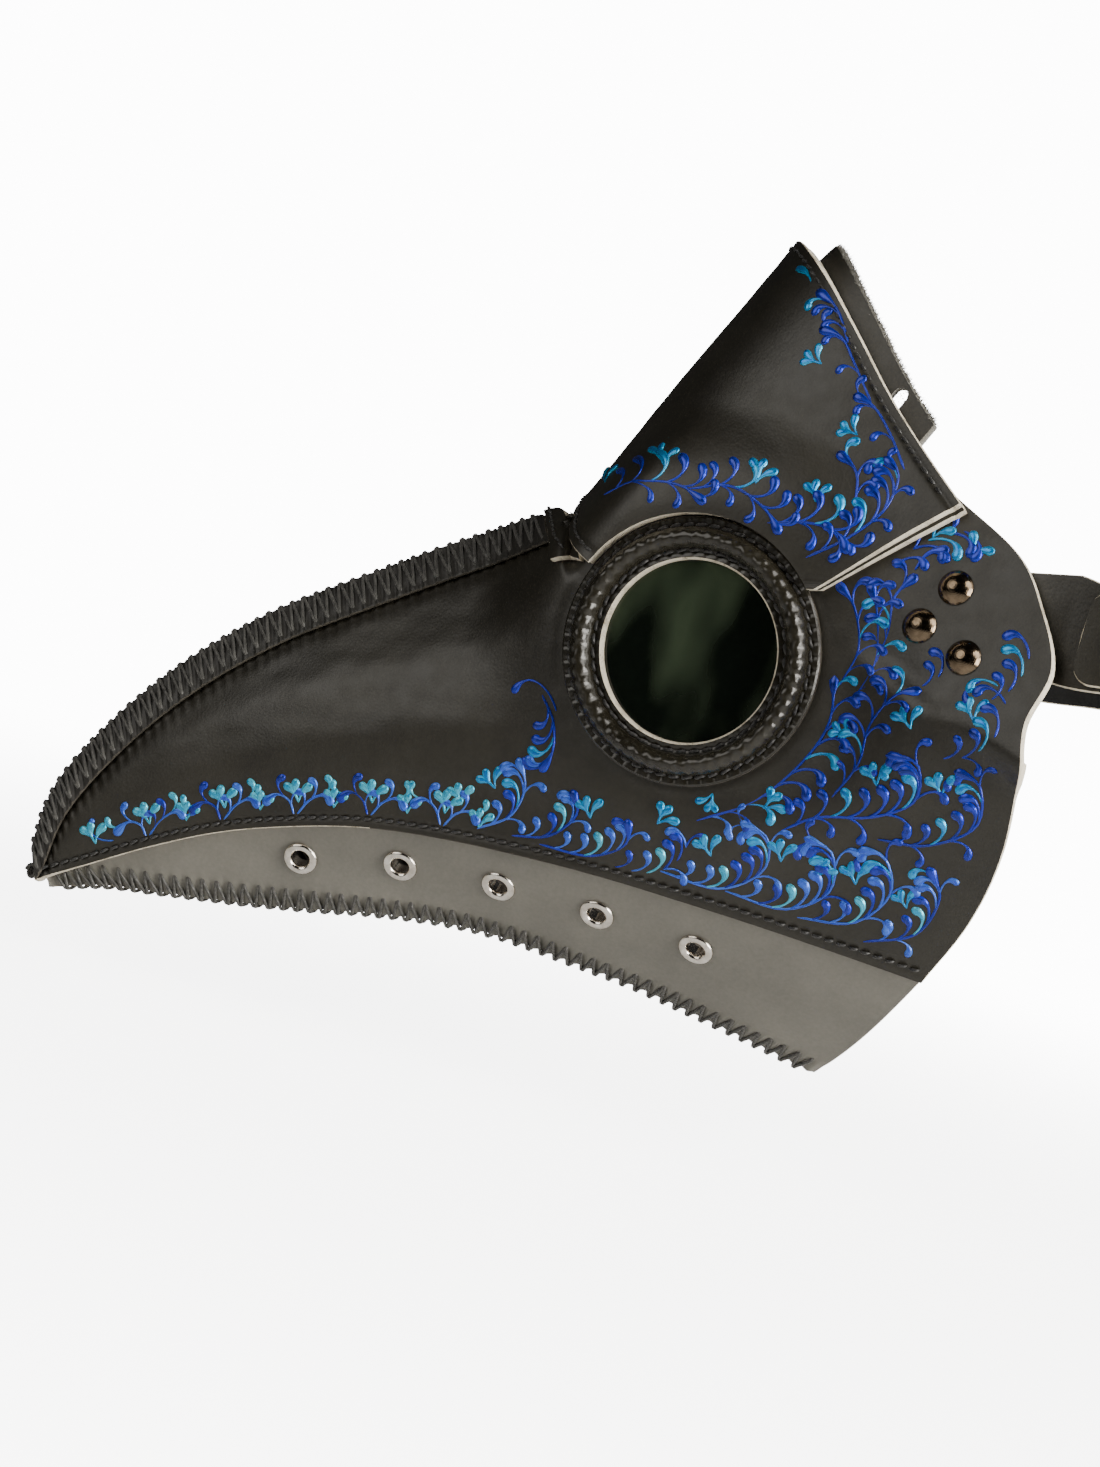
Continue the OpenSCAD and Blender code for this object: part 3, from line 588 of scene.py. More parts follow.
def enamel(name, deep, bright):
    """Raised pearl paint: deeper along the middle of a stroke, brighter at its rim, with brush streaks."""
    f = Finish(name, Metallic=0.6, Specular_IOR_Level=0.5, Coat_Weight=0.35, Coat_Roughness=0.1)
    stroke = f.add("ShaderNodeAttribute", attribute_name="stroke")
    parts = f.add("ShaderNodeSeparateColor", {"Color": stroke.outputs["Color"]})
    across, along, chance = parts.outputs[0], parts.outputs[1], parts.outputs[2]
    wide = f.maths("MULTIPLY", across, 2.2)
    long = f.maths("ADD", f.maths("MULTIPLY", along, 0.5), f.maths("MULTIPLY", chance, 90.0))
    flow = f.add("ShaderNodeCombineXYZ", {"X": wide, "Y": long}).outputs[0]
    streaks = f.add("ShaderNodeTexNoise", {"Vector": flow}, Scale=5.0, Detail=3.0,
                    noise_dimensions="2D").outputs[0]
    rim = f.maths("POWER", across, 3.0)
    mix = f.maths("ADD", f.maths("MULTIPLY", rim, 0.55), f.maths("MULTIPLY", streaks, 0.9))
    f.wear("Base Color", f.ramp(f.maths("SUBTRACT", mix, 0.15), (0.18, deep), (0.75, bright)))
    f.wear("Roughness", f.ramp(streaks, (0.3, 0.2), (0.7, 0.36)))
    f.wear("Normal", f.bump(streaks, 0.12, 0.6))
    return f.material


FINISHES = {}


def make_finishes(tints):
    FINISHES.update(
        hide=grain_leather("black_hide", tints.hide_dark, tints.hide_light),
        ring=grain_leather("ring_hide", tints.hide_dark, tints.hide_light, (0.18, 0.28), 0.6, 0.03),
        # jaw: the same black hide with light painted into its colour; its grey tones are painted light for
        # the light that falls on the jaw from below.
        jaw=grain_leather("jaw_hide_painted_lit", tints.jaw_painted_lit_dark, tints.jaw_painted_lit_light, (0.46, 0.62), grain=0.9, depth=0.03),
        band=grain_leather("band_hide", (0.010, 0.0095, 0.008), (0.026, 0.024, 0.02), (0.45, 0.62), 0.6),
        edge=cut_edge("cream_edge", tints.edge_pale, tints.edge_deep),
        dark_edge=cut_edge("burnished_edge", (0.07, 0.062, 0.05), (0.02, 0.018, 0.015)),
        flesh=flesh_side("flesh_side", (0.035, 0.03, 0.025), (0.09, 0.08, 0.066)),
        velvet=flesh_side("black_velvet", (0.003, 0.003, 0.003), (0.010, 0.010, 0.010), sheen=0.15),
        nap=flesh_side("grey_nap", (0.07, 0.068, 0.06), (0.24, 0.23, 0.2), sheen=0.7),
        thread=thread_finish("waxed_thread", tints.thread),
        # lacing: black thread like the stitches, given a lighter colour as painted sheen for the highlights
        # along the lacing.
        lacing=thread_finish("lacing_thread_painted_sheen", tints.lacing, gloss=0.45),
        foam=flesh_side("ring_foam", (0.3, 0.3, 0.28), (0.5, 0.5, 0.47), sheen=0.1),
        nickel=plated("bright_nickel", (0.86, 0.82, 0.76), 0.1, (0.62, 0.57, 0.5)),
        smoked=plated("smoked_nickel", tints.rivet, 0.1, tuple(0.55 * c for c in tints.rivet)),
        # glass: its lighter green patches are painted reflection.
        glass=glass_with_painted_reflection("glass_with_painted_reflection", (0.004, 0.006, 0.0045), (0.04, 0.055, 0.034)),
        plastic=moulded_plastic("black_plastic", (0.012, 0.012, 0.012)),
        royal=enamel("royal_enamel", tints.paint_deep, (0.02, 0.05, 0.75)),
        # sky and pale: lighter copies of the blue and cyan enamels, used only low on the side panel as
        # painted light from below.
        sky=enamel("painted_lighter_blue_enamel", (0.02, 0.07, 0.6), (0.09, 0.26, 0.95)),
        cyan=enamel("cyan_enamel", (0.0, 0.16, 0.55), (0.03, 0.55, 0.9)),
        pale=enamel("painted_lighter_cyan_enamel", (0.0, 0.32, 0.6), (0.14, 0.75, 0.92)),
    )


def paint_nodes(finish, *names):
    """Gives CAD nodes that stay in view their finish."""
    for name in names:
        node = frame["nodes"][name]
        node.data.materials.clear()
        node.data.materials.append(finish)


# ---------------------------------------------------------------- panels and forehead

def height_of(surface, u):
    """Length in millimetres of a surface from v = 0 to v = 1 at each u."""
    return np.linalg.norm(surface(u, 0 * u + 1) - surface(u, 0 * u), axis=-1)


def run_of(surface, us, v):
    """Length along the line of constant v, for every u in us."""
    p = surface(us, 0 * us + v)
    return np.append(0, np.cumsum(np.linalg.norm(np.diff(p, axis=0), axis=1)))


def bell(x, width):
    return np.exp(-(x / width) ** 2)


STITCH_IN = 2.4
SEAM_STITCH = {"pitch": 3.3, "length": 2.5}
BAND_W = 8.5
BAND_PITCH = 3.7
KEEL_PITCH = 4.0
KEEL_W = 7.0


def side_relief(u, v, p):
    """Stitch groove along the seam, puckers below the ridge band and soft unevenness."""
    h = height_of(side, u[:, 0])[:, None]
    seam, ridge = v * h, (1 - v) * h
    run = run_of(side, u[:, 0], 1.0)[:, None]
    fade = ease(RIDGE_END + 0.02, RIDGE_END - 0.02, u)
    pucker = 0.3 * np.cos(2 * math.pi * run / BAND_PITCH) * bell(np.maximum(ridge - BAND_W, 0), 3.2) * fade
    tuck = -0.55 * bell(np.maximum(ridge - BAND_W, 0), 2.6) * fade
    groove = -0.4 * bell(seam - STITCH_IN, 0.9)
    eye = np.hypot(p[..., 1], p[..., 2])
    crease = -0.3 * bell(eye - RING_R - 0.6, 1.6)
    soft = 0.22 * ripple(p, 34, 3) + 0.07 * ripple(p, 9, 4)
    return pucker + tuck + groove + crease + soft * ease(0, 6, seam) * ease(0, 6, ridge)


def jaw_relief(u, w, p):
    h = height_of(jaw, u[:, 0])[:, None]
    keel = (1 - w) * h
    run = run_of(jaw, u[:, 0], 1.0)[:, None]
    pucker = 0.35 * np.cos(2 * math.pi * run / KEEL_PITCH) * bell(np.maximum(keel - 4, 0), 3.0)
    soft = 0.15 * ripple(p, 30, 6)
    return -(pucker + soft * ease(0, 5, keel)) * ease(0.0, 0.08, w)


def brow_relief(u, v, p):
    h = height_of(brow_face, u[:, 0])[:, None]
    low, high = v * h, (1 - v) * h
    groove = -0.35 * bell(high - STITCH_IN, 0.8) - 0.35 * bell(low - STITCH_IN, 0.8)
    soft = 0.2 * ripple(p, 40, 8) + 0.05 * ripple(p, 8, 9)
    return groove + soft * ease(0, 6, low) * ease(0, 6, high)


def offset_path(surface, us, vs, out=0.0):
    """Points along a surface and the direction that faces out at each."""
    n = normal(surface, us, vs)
    return surface(us, vs) + n * out, n


def both_sides(left, body="mask", *replaced):
    """Rides a left piece and its mirrored twin, and hides the CAD nodes that they stand for."""
    twin = mirror_piece(left, left.name.replace("left_", "right_"))
    for obj, name in ((left, "left_"), (twin, "right_")):
        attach(obj, body)
        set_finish(obj, left["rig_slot"])
        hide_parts(*[name + r for r in replaced])
    return left, twin


def left_right_stitches(name, path, ups, finish, **how):
    row = stitch_row("left_" + name, path, ups, finish, **how)
    twin = mirror_piece(row, "right_" + name)
    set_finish(twin, "thread")
    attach(twin, row["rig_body"])
    return row, twin


def build_panels(pattern):
    hide, edge, flesh = FINISHES["hide"], FINISHES["edge"], FINISHES["flesh"]
    us = np.linspace(0, 1, 341)
    vs = np.concatenate([np.linspace(0, 0.07, 13), np.linspace(0.07, 0.9, 60)[1:],
                         np.linspace(0.9, 1, 14)[1:]])
    outer, inner = sheet_nets(side, us, vs, -LEATHER_T, 0, side_relief)

    def panel_edge(i, j):
        folded = (j == 0) & (us[i] > 0.42)
        return np.where(folded, BURNISHED, CUT)

    skins = [hide, flesh, edge, FINISHES["dark_edge"]]
    left = leather("left_side_leather", outer, inner, skins, edge_kind=panel_edge)
    cut(left, [plug(EYE, EYE_N, GLASS_R + 0.3, 12, [hide, flesh, edge, edge])])
    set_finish(left, "black_leather")
    both_sides(left, "mask", "side_panel")

    us = np.linspace(0.015, 1, 300)
    ws = np.concatenate([np.linspace(-1, 0, 8), np.linspace(0, 1, 44)[1:]])
    inner, outer = sheet_nets(jaw, us, ws, 0, LEATHER_T, jaw_relief)
    # The jaw finish is black hide with painted light: its grey stands in for the light that falls on the jaw
    # from below.
    skins = [FINISHES["jaw"], flesh, edge]
    left = leather("left_jaw_leather", outer[:, ::-1], inner[:, ::-1], skins)
    holes = [plug(p, n, pattern.eyelet_hole / 2 / MM, 6, skins) for p, n in eyelet_places()]
    cut(left, holes)
    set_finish(left, "grey_leather")
    both_sides(left, "mask", "jaw_panel")

    us = np.linspace(0.012, 0.992, 500)
    path, ups = offset_path(side, us, STITCH_IN / height_of(side, us), 0.0)
    left_right_stitches("seam_stitches", path, ups, FINISHES["thread"], **SEAM_STITCH, seed=5)


EYELET_TOP = 0.9


def eyelet_places():
    """Place on the leather and outward direction of each left eyelet, from the CAD node's own rings."""
    co = np.array([v.co for v in frame["nodes"]["left_eyelets"].data.vertices]) / MM
    ys = np.sort(co[:, 1])
    gaps = np.where(np.diff(ys) > 8)[0]
    places = []
    for low, high in zip(np.append(ys[0], ys[gaps + 1]), np.append(ys[gaps], ys[-1])):
        ring = co[(co[:, 1] >= low - 0.01) & (co[:, 1] <= high + 0.01)]
        at = ring.mean(0)
        n = np.linalg.svd(ring - at, full_matrices=False)[2][2]
        n = n * np.sign(n[0])
        places.append((at + n * (((ring - at) @ n).max() - EYELET_TOP), n))
    return places


def build_forehead():
    hide, edge, flesh = FINISHES["hide"], FINISHES["edge"], FINISHES["flesh"]
    es = np.sign(np.linspace(-1, 1, 301)) * np.abs(np.linspace(-1, 1, 301)) ** 1.15
    fs = np.concatenate([np.linspace(0, 0.08, 9), np.linspace(0.08, 0.92, 56)[1:],
                         np.linspace(0.92, 1, 9)[1:]])
    low, mid = LAYER_GAP, LAYER_GAP + LEATHER_T + SEAT_GAP
    lean_up = np.array([0, math.sin(LEAN), math.cos(LEAN)])
    slot_at = np.array([0, FRONT_Y, FRONT_Z]) + 68 * lean_up
    for name, start, grows in (("forehead_lining", low, -0.6), ("forehead_panel", mid, 0.0)):
        stretch = 1 - grows / 95
        outer, inner = sheet_nets(brow_face, es * stretch, fs, start, start + LEATHER_T, brow_relief)
        skins = [hide, flesh, edge]
        sheet = leather(name + "_leather", outer, inner, skins)
        holes = []
        for x in (1, -1):
            flip = np.array([x, 1, 1])
            holes.append(plug(EYE * flip, EYE_N * flip, RING_R + 0.35, 30, skins, 96))
        across = np.array([1.0, 0, 0])
        holes.append(slot_plug(slot_at, across, lean_up, 15 * np.cross(across, lean_up), 2.4, 3.6, skins))
        cut(sheet, holes)
        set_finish(sheet, "black_leather")
        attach(sheet, "mask")
        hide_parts(name)

    top = mid + LEATHER_T
    es = np.linspace(0.03, 0.975, 400)
    h = height_of(brow_face, es)
    path, ups = offset_path(brow_face, es, 1 - STITCH_IN / h, top - 0.25)
    left_right_stitches("forehead_top_stitches", path, ups, FINISHES["thread"], **SEAM_STITCH, seed=7)
    path, ups = offset_path(brow_face, es, STITCH_IN / h, top - 0.25)
    eye = np.linalg.norm(np.cross(path - EYE, EYE_N), axis=1)
    keep = eye > RING_R + 1.5
    front, back = keep & (es < 0.35), keep & (es > 0.35)
    for part, name in ((front, "forehead_front_stitches"), (back, "forehead_low_stitches")):
        if part.sum() > 12:
            left_right_stitches(name, path[part], ups[part], FINISHES["thread"], **SEAM_STITCH, seed=8)


# ---------------------------------------------------------------- binding and lacing

def lacing(name, surface, us, pitch, depth, out, radius, level=14):
    """Thick thread that zigzags over the crest: down to a hole on one side, up and over to the other."""
    finish = FINISHES["lacing"]
    fine = np.linspace(us[0], us[1], 900)
    run = run_of(surface, fine, 1.0)
    count = int(run[-1] / pitch)
    rng = np.random.default_rng(11)
    holes = (np.arange(count) + 0.5) * run[-1] / count + rng.uniform(-0.06, 0.06, count) * pitch
    t = np.linspace(1, 0, level)
    flip = np.array([-1, 1, 1])

    def half_strand(a, b):
        u = np.interp(a + (b - a) * (1 - t) * 0.5, run, fine)
        p, n = crest_point(surface, u, t * (depth + ROUND) - ROUND, out + 0.2 + 0.1 * (1 - t))
        return p - n * (1.3 * bell(1 - t, 0.07))[:, None], n

    lines, ups = [], []
    for here, there in zip(holes[:-1], holes[1:]):
        (p, n), (q, m) = half_strand(here, there), half_strand(there, here)
        for one, other, up, down in ((p, q, n, m), (q, p, m, n)):
            lines.append(np.vstack([one, (other * flip)[-2::-1]]))
            ups.append(np.vstack([up, (down * flip)[-2::-1]]))
    lines, ups = np.array(lines), np.array(ups)
    size = np.full(lines.shape[:2], radius) * rng.uniform(0.9, 1.1, (len(lines), 1))
    points, faces, _ = tubes(lines, size, size, ups)
    row = piece(name, points, faces, [finish], crease=60)
    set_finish(row, "thread")
    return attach(row, "mask")


ROUND = 2.0


def crest_point(surface, u, depth, out):
    """A point and outward direction "depth" millimetres down the left side from the crest's corner.
    A depth below 0 goes on over the crest, and reaches the middle of the mask at -ROUND."""
    v = 1 - np.maximum(depth, 0) / height_of(surface, u)
    p, n = surface(u, v), normal(surface, u, v)
    if surface is jaw:
        n = -n
    a = (np.clip(-depth / ROUND, 0, 1) * math.pi / 2)[:, None]
    out = np.asarray(out)[..., None]
    flat = np.array([0.0, 1, 1])
    crest = unit(n * flat)
    face = p + n * out
    over = face * [1, 0, 0] * np.cos(a) + p * flat + n * flat * out * np.cos(a)
    over = over + crest * (out + 0.3) * np.sin(a)
    return over, unit(n * np.cos(a) + crest * np.sin(a))


def crest_nets(surface, us, depth, low, high, level):
    """Nets of a strip over the crest, from the right side to the left. low and high take (u, depth)."""
    t = np.linspace(-1, 1, level)
    nets = []
    for out in (high, low):
        rows = []
        for share in t:
            d = np.full(len(us), abs(share) * (depth + ROUND) - ROUND)
            p, _ = crest_point(surface, us, d, out(us, d))
            p[:, 0] *= -1 if share < 0 else 1
            rows.append(p)
        nets.append(np.stack(rows, 1))
    return nets


def build_lacing(pattern):
    band, radius = FINISHES["band"], pattern.thread_gauge / 2 / MM
    edge_u = (0.004, RIDGE_END - 0.012)
    us = np.linspace(*edge_u, 620)
    run = run_of(side, us, 1.0)
    count = int(run[-1] / BAND_PITCH)
    beat = 2 * math.pi * count * run / run[-1]

    def puff(u, d):
        ridge = 0.4 * (0.5 - 0.5 * np.cos(beat)) * bell(np.maximum(d, 0), 5.5)
        hem = -0.35 * (0.5 + 0.5 * np.cos(beat)) * bell(d - BAND_W + 1, 2.0)
        return 1.05 + ridge + hem + 0.12 * np.sin(3.1 * run + d)

    nets = crest_nets(side, us, BAND_W, lambda u, d: 0 * u + 0.15, puff, 27)
    strip = leather("ridge_binding_leather", nets[0], nets[1],
                    [band, FINISHES["flesh"], FINISHES["dark_edge"]], bulge=0.2)
    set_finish(strip, "binding")
    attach(strip, "mask")
    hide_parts("ridge_binding")
    row = lacing("ridge_lacing", side, edge_u, run[-1] / count, BAND_W - 1.1, 1.25, radius)
    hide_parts("ridge_thread")

    row = lacing("keel_lacing", jaw, (0.02, 0.992), KEEL_PITCH, KEEL_W, 0.3, radius)
    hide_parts("keel_thread")
    build_knot()
    build_patch()


def build_knot():
    """The lacing ends in a few tight turns of thread at the beak's tip."""
    t = np.linspace(0, 1, 60)
    turn = 7 * math.pi * t
    centre = np.stack([7 * (t - 0.5), -171.6 + 1.3 * np.cos(turn), -113.5 + 1.9 * np.sin(turn)], -1)
    thick = np.full((1, 60), 0.55)
    points, faces, _ = tubes(centre[None], thick, thick, np.broadcast_to([1.0, 0.1, 0.0], (1, 60, 3)))
    knot = piece("tip_knot", points, faces, [FINISHES["lacing"]], crease=60)
    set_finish(knot, "thread")
    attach(knot, "mask")


def build_patch():
    """Leather patch over the nose bridge, with its own row of stitches."""
    us = np.linspace(RIDGE_END - 0.008, RIDGE_END + 0.03, 40)
    width = 15.0
    nets = crest_nets(side, us, width, lambda u, d: 0 * u + 0.25, lambda u, d: 0 * u + 2.05, 41)
    skins = [FINISHES["hide"], FINISHES["flesh"], FINISHES["edge"]]
    patch = leather("nose_bridge_leather", nets[0], nets[1], skins)
    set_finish(patch, "black_leather")
    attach(patch, "mask")
    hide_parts("nose_bridge_patch")
    d = np.linspace(-1, 1, 80) * (width - 2 + ROUND)
    u = np.full(80, RIDGE_END)
    p, n = crest_point(side, u, np.abs(d) - ROUND, np.full(80, 2.0))
    flip = np.where(d < 0, -1, 1)
    p[:, 0] *= flip
    n[:, 0] *= flip
    stitch_row("nose_bridge_stitches", p, n, FINISHES["thread"], pitch=3.2, length=2.4, seed=12)


# ---------------------------------------------------------------- eyes

RING_ROWS = (26.4, 33.0)
RING_PITCH = 3.6


def build_eyes():
    hide = FINISHES["ring"]
    mid = (RING_ROWS[0] + RING_ROWS[1]) / 2
    outline = [(APERTURE_R, 0.1), (APERTURE_R - 0.05, 1.1), (APERTURE_R + 0.12, 2.1),
               (APERTURE_R + 0.55, 2.45)]
    cream = len(outline) - 1
    outline += [(RING_ROWS[0] - 0.9, 2.45), (RING_ROWS[0] - 0.3, 2.15), (RING_ROWS[0] + 0.3, 2.3)]
    span = RING_ROWS[1] - RING_ROWS[0]
    for t in np.linspace(0.08, 0.92, 19):
        outline.append((RING_ROWS[0] + span * t, 2.3 + (RING_H - 2.3) * math.sin(math.pi * t) ** 0.62))
    outline += [(RING_ROWS[1] - 0.1, 2.0), (RING_ROWS[1] + 0.5, 2.05), (RING_R - 0.6, 2.0),
                (RING_R - 0.08, 1.6)]
    outer_edge = len(outline) - 1
    outline += [(RING_R, 0.9), (RING_R - 0.1, 0.1)]
    counts = [round(2 * math.pi * r / RING_PITCH) for r in RING_ROWS]

    def relief(a, r):
        pinch = sum(-0.42 * (0.5 + 0.5 * np.cos(n * a)) ** 3 * bell(r - at, 0.9)
                    for n, at in zip(counts, RING_ROWS))
        gather = sum(0.22 * np.cos(n * a) * bell(r - at - way * 1.6, 1.1)
                     for n, at, way in ((counts[0], RING_ROWS[0], 1), (counts[1], RING_ROWS[1], -1)))
        p = np.stack([r * np.cos(a), r * np.sin(a), 0 * r], -1)
        wrinkle = (0.10 * ripple(p, 2.6, 31) + 0.09 * ripple(p, 5.5, 32)) * bell(r - mid, 2.6)
        return pinch + gather + wrinkle

    points, faces = lathe(outline, 696, relief)
    m = len(outline)
    column = np.tile(np.arange(m), 696)
    outside = np.where(column >= outer_edge, BURNISHED, GRAIN)
    kinds = np.where((column < cream) | (column >= m - 1), CUT, outside)
    points = placed(points + UP * SEAT_GAP, EYE, EYE_N)
    skins = [hide, FINISHES["flesh"], FINISHES["edge"], FINISHES["dark_edge"]]
    ring = piece("left_ring_leather", points, faces.tolist(), skins, kinds)
    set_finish(ring, "black_leather")
    both_sides(ring, "mask", "eye_ring")

    foam = [(mid + 2.5 * math.cos(t), RING_H / 2 + 0.1 + 1.35 * math.sin(t) + 0.15 * math.cos(2 * t))
            for t in np.linspace(0, 2 * math.pi, 20, endpoint=False)]
    points, faces = lathe(foam, 192, lambda a, r: 0.05 * np.sin(9 * a) + 0 * r)
    points = placed(points + UP * SEAT_GAP, EYE, EYE_N)
    pad = piece("left_ring_foam", points, faces.tolist(), [FINISHES["foam"]])
    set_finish(pad, "foam")
    for obj in both_sides(pad, "mask", "ring_padding"):
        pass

    for word, r, n, seed in zip(("inner", "outer"), RING_ROWS, counts, (13, 14)):
        a = (np.arange(n * 12 + 1) / 12 - 0.5) * 2 * math.pi / n
        path = placed(np.stack([r * np.cos(a), r * np.sin(a), 0 * a + 2.35], -1), EYE, EYE_N)
        ups = np.broadcast_to(EYE_N, path.shape)
        left_right_stitches(word + "_ring_stitches", path, ups, FINISHES["thread"], pitch=2 * math.pi * r / n,
                            length=2.8, radius=0.5, lift=0.5, seed=seed)
    paint_nodes(FINISHES["glass"], "left_lens", "right_lens")
    paint_nodes(FINISHES["plastic"], "left_lens_retainer", "right_lens_retainer")


def build_eyelets():
    """Turned eyelets: a domed flange that rolls into the barrel."""
    lip = [(3.8 + 1.2 * math.cos(t), 0.1 + 1.05 * math.sin(t)) for t in np.linspace(0, math.pi * 0.72, 13)]
    throat = [(2.72, 0.55), (2.56, 0.2), (2.5, -0.4), (2.5, -3.6), (3.0, -3.6), (3.0, 0.06), (3.4, 0.1)]
    points, faces, size = [], [], 0
    for at, n in eyelet_places():
        ring, net = lathe(lip + throat, 72)
        points.append(placed(ring, at, n))
        faces += (net + size).tolist()
        size += len(ring)
    eyelets = piece("left_turned_eyelets", np.vstack(points), faces, [FINISHES["nickel"]], crease=50)
    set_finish(eyelets, "nickel")
    both_sides(eyelets, "mask", "eyelets")


def build_fittings():
    build_eyelets()
    paint_nodes(FINISHES["nickel"], "left_eyelet_washers", "right_eyelet_washers", "left_rivet_backs",
                "right_rivet_backs", "buckle_frame", "buckle_prong")
    paint_nodes(FINISHES["smoked"], "left_rivets", "right_rivets", "left_strap_rivets", "right_strap_rivets",
                "crown_strap_rivet")


# ---------------------------------------------------------------- head straps

STRAP_W, TAB_W = 15.0, 27.0
STRAP_R, ROOT_TURN, STRAP_DROP = 62.0, 22.0, 0.09
ANCHOR_GAP = 0.9
INSIDE = LEATHER_T + ANCHOR_GAP
ARC_LEN = STRAP_R * 3.1416 * 78 / 180
LEFT_LEN, RIGHT_LEN = ARC_LEN + 36, ARC_LEN + 14
HOLE_PITCH, HOLE_N, HOLE_R = 11.0, 6, 1.6
WIRE_D = 2.4
FOLD_R = WIRE_D / 2 + LEATHER_T
FOLD_SPLIT = 1.7
OVER_LOW = LEATHER_T + 0.1
OVER_START, OVER_CORNER, OVER_MARGIN = 5.0, 5.0, 1.2
PLATE_FRONT, PLATE_BACK, PLATE_Z, PLATE_RISE = 45.0, 71.0, 22.0, 8 / 38
TAB_LEN = 40.0
ROOT = side(*locate(side, np.array([83.0]), np.array([30.0]), (0, 0)))[0]
CENTRE = np.array([ROOT[0] - INSIDE - LEATHER_T - STRAP_R * math.cos(math.radians(ROOT_TURN)),
                   ROOT[1] + 7 + STRAP_R * math.sin(math.radians(ROOT_TURN))])


def strap_angle(a):
    return -math.radians(ROOT_TURN) + np.minimum(a, ARC_LEN) / STRAP_R


def strap_point(a, z):
    g, extra = strap_angle(a), np.maximum(0, a - ARC_LEN)
    x = CENTRE[0] + STRAP_R * np.cos(g) - extra * np.sin(g)
    y = CENTRE[1] + STRAP_R * np.sin(g) + extra * np.cos(g)
    return np.stack([x, y, ROOT[2] - STRAP_DROP * np.minimum(a, ARC_LEN) + z], -1)


def half_width(a):
    return (TAB_W + (STRAP_W - TAB_W) * ease(0, 34, a)) / 2


def tab_face(a, t):
    return strap_point(a, 2 * t * half_width(a))


def over_face(a, t):
    """The upper strap: narrower than the tab, with rounded corners at its start."""
    r = OVER_CORNER
    back = np.clip(r - (a - OVER_START), 0, r)
    return strap_point(a, 2 * t * (half_width(a) - OVER_MARGIN - (r - np.sqrt(r * r - back * back))))


def anchor_face(y, t):
    z = PLATE_Z + PLATE_RISE * (y - PLATE_FRONT) + t * TAB_W
    u, v = locate(side, y, z, (0, 0))
    return side(u, v)


def strap_frame(a):
    """Place and outward direction on the middle of the strap."""
    g = float(strap_angle(a))
    return strap_point(np.array(float(a)), 0.0), np.array([math.cos(g), math.sin(g), 0.0])


def build_root(skins):
    """One leather piece from the plate under the side panel to the tab that leaves it."""
    t = np.linspace(-0.5, 0.5, 29)
    ys, tt = np.meshgrid(np.linspace(PLATE_FRONT, PLATE_BACK, 24), t, indexing="ij")
    p, n = anchor_face(ys, tt), normal(anchor_face, ys, tt, 0.05)
    plate = [p - n * INSIDE, p - n * (INSIDE + LEATHER_T)]
    a, tt = np.meshgrid(np.linspace(0.3, TAB_LEN, 44), t, indexing="ij")
    p, n = tab_face(a, tt), normal(tab_face, a, tt, 0.05)
    tab = [p + n * LEATHER_T, p]
    k = np.linspace(0, 1, 11)[1:-1, None, None]
    outer, inner = (np.vstack([x, x[-1:] * (1 - k) + y[:1] * k, y]) for x, y in zip(plate, tab))
    return leather("left_strap_root", outer, inner, skins)


def build_straps():
    skins = [FINISHES["hide"], FINISHES["velvet"], FINISHES["edge"]]
    root = build_root(skins)
    twin = mirror_piece(root, "right_strap_root")
    for obj, name in ((root, "left_"), (twin, "right_")):
        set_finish(obj, "black_leather")
        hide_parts(name + "strap_anchor", name + "strap_tab")
        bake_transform(obj)

    for name, length in (("left_", LEFT_LEN), ("right_", RIGHT_LEN)):
        a = np.concatenate([np.linspace(OVER_START, 11, 14), np.linspace(11, length, 110)[1:]])
        outer, inner = sheet_nets(over_face, a, np.linspace(-0.5, 0.5, 25), OVER_LOW, OVER_LOW + LEATHER_T,
                                  lambda u, v, p: 0.12 * ripple(p, 22, 41))
        if name == "right_":
            tip = np.clip((a - (length - 8)) / 8, 0, 1)
            taper = np.sqrt(1 - 0.96 * tip**2)[:, None, None]
            for net in (outer, inner):
                middle = net.mean(1, keepdims=True)
                net[:] = middle + (net - middle) * taper
        strap = leather(name + "strap_leather", outer, inner, skins)
        if name == "left_":
            bar, _, ahead = bar_place()
            through = 4 * np.cross(UP, ahead)
            cut(strap, [slot_plug(bar - ahead * 2.5, UP, ahead, through, FOLD_SPLIT + 0.05, 3, skins)])
        else:
            holes = []
            for k in range(HOLE_N):
                at, n = strap_frame(length - 14 - k * HOLE_PITCH)
                holes.append(plug(at + n * 4, n, HOLE_R, 6, skins, 32))
            cut(strap, holes)
            flipped = mirror_piece(strap, "right_strap_leather_worn")
            bpy.data.objects.remove(strap)
            strap = flipped
        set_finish(strap, "black_leather")
        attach(strap, name + "head_strap")
        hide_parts(name + "strap")
        strap_stitches(name, length)
    build_buckle_fold(skins)
    build_keeper()


def strap_stitches(name, length):
    """A stitched line near both long edges of the strap."""
    for edge, word in ((-1, "lower"), (1, "upper")):
        a = np.linspace(13, length - 10, 300)
        t = edge * (0.5 - 1.9 / (2 * (half_width(a) - OVER_MARGIN)))
        path, ups = offset_path(over_face, a, t, OVER_LOW + LEATHER_T)
        row = stitch_row(name + word + "_strap_stitches", path, ups, FINISHES["thread"], name + "head_strap",
                         **SEAM_STITCH, radius=0.34, lift=0.25, seed=51)
        if name == "right_":
            row.data.transform(Matrix.Scale(-1, 4, (1, 0, 0)))
            row.data.flip_normals()


def bar_place():
    at, n = strap_frame(LEFT_LEN + FOLD_R - 0.6)
    g = float(strap_angle(LEFT_LEN))
    return at + n * (OVER_LOW + LEATHER_T / 2), n, np.array([-math.sin(g), math.cos(g), 0.0])


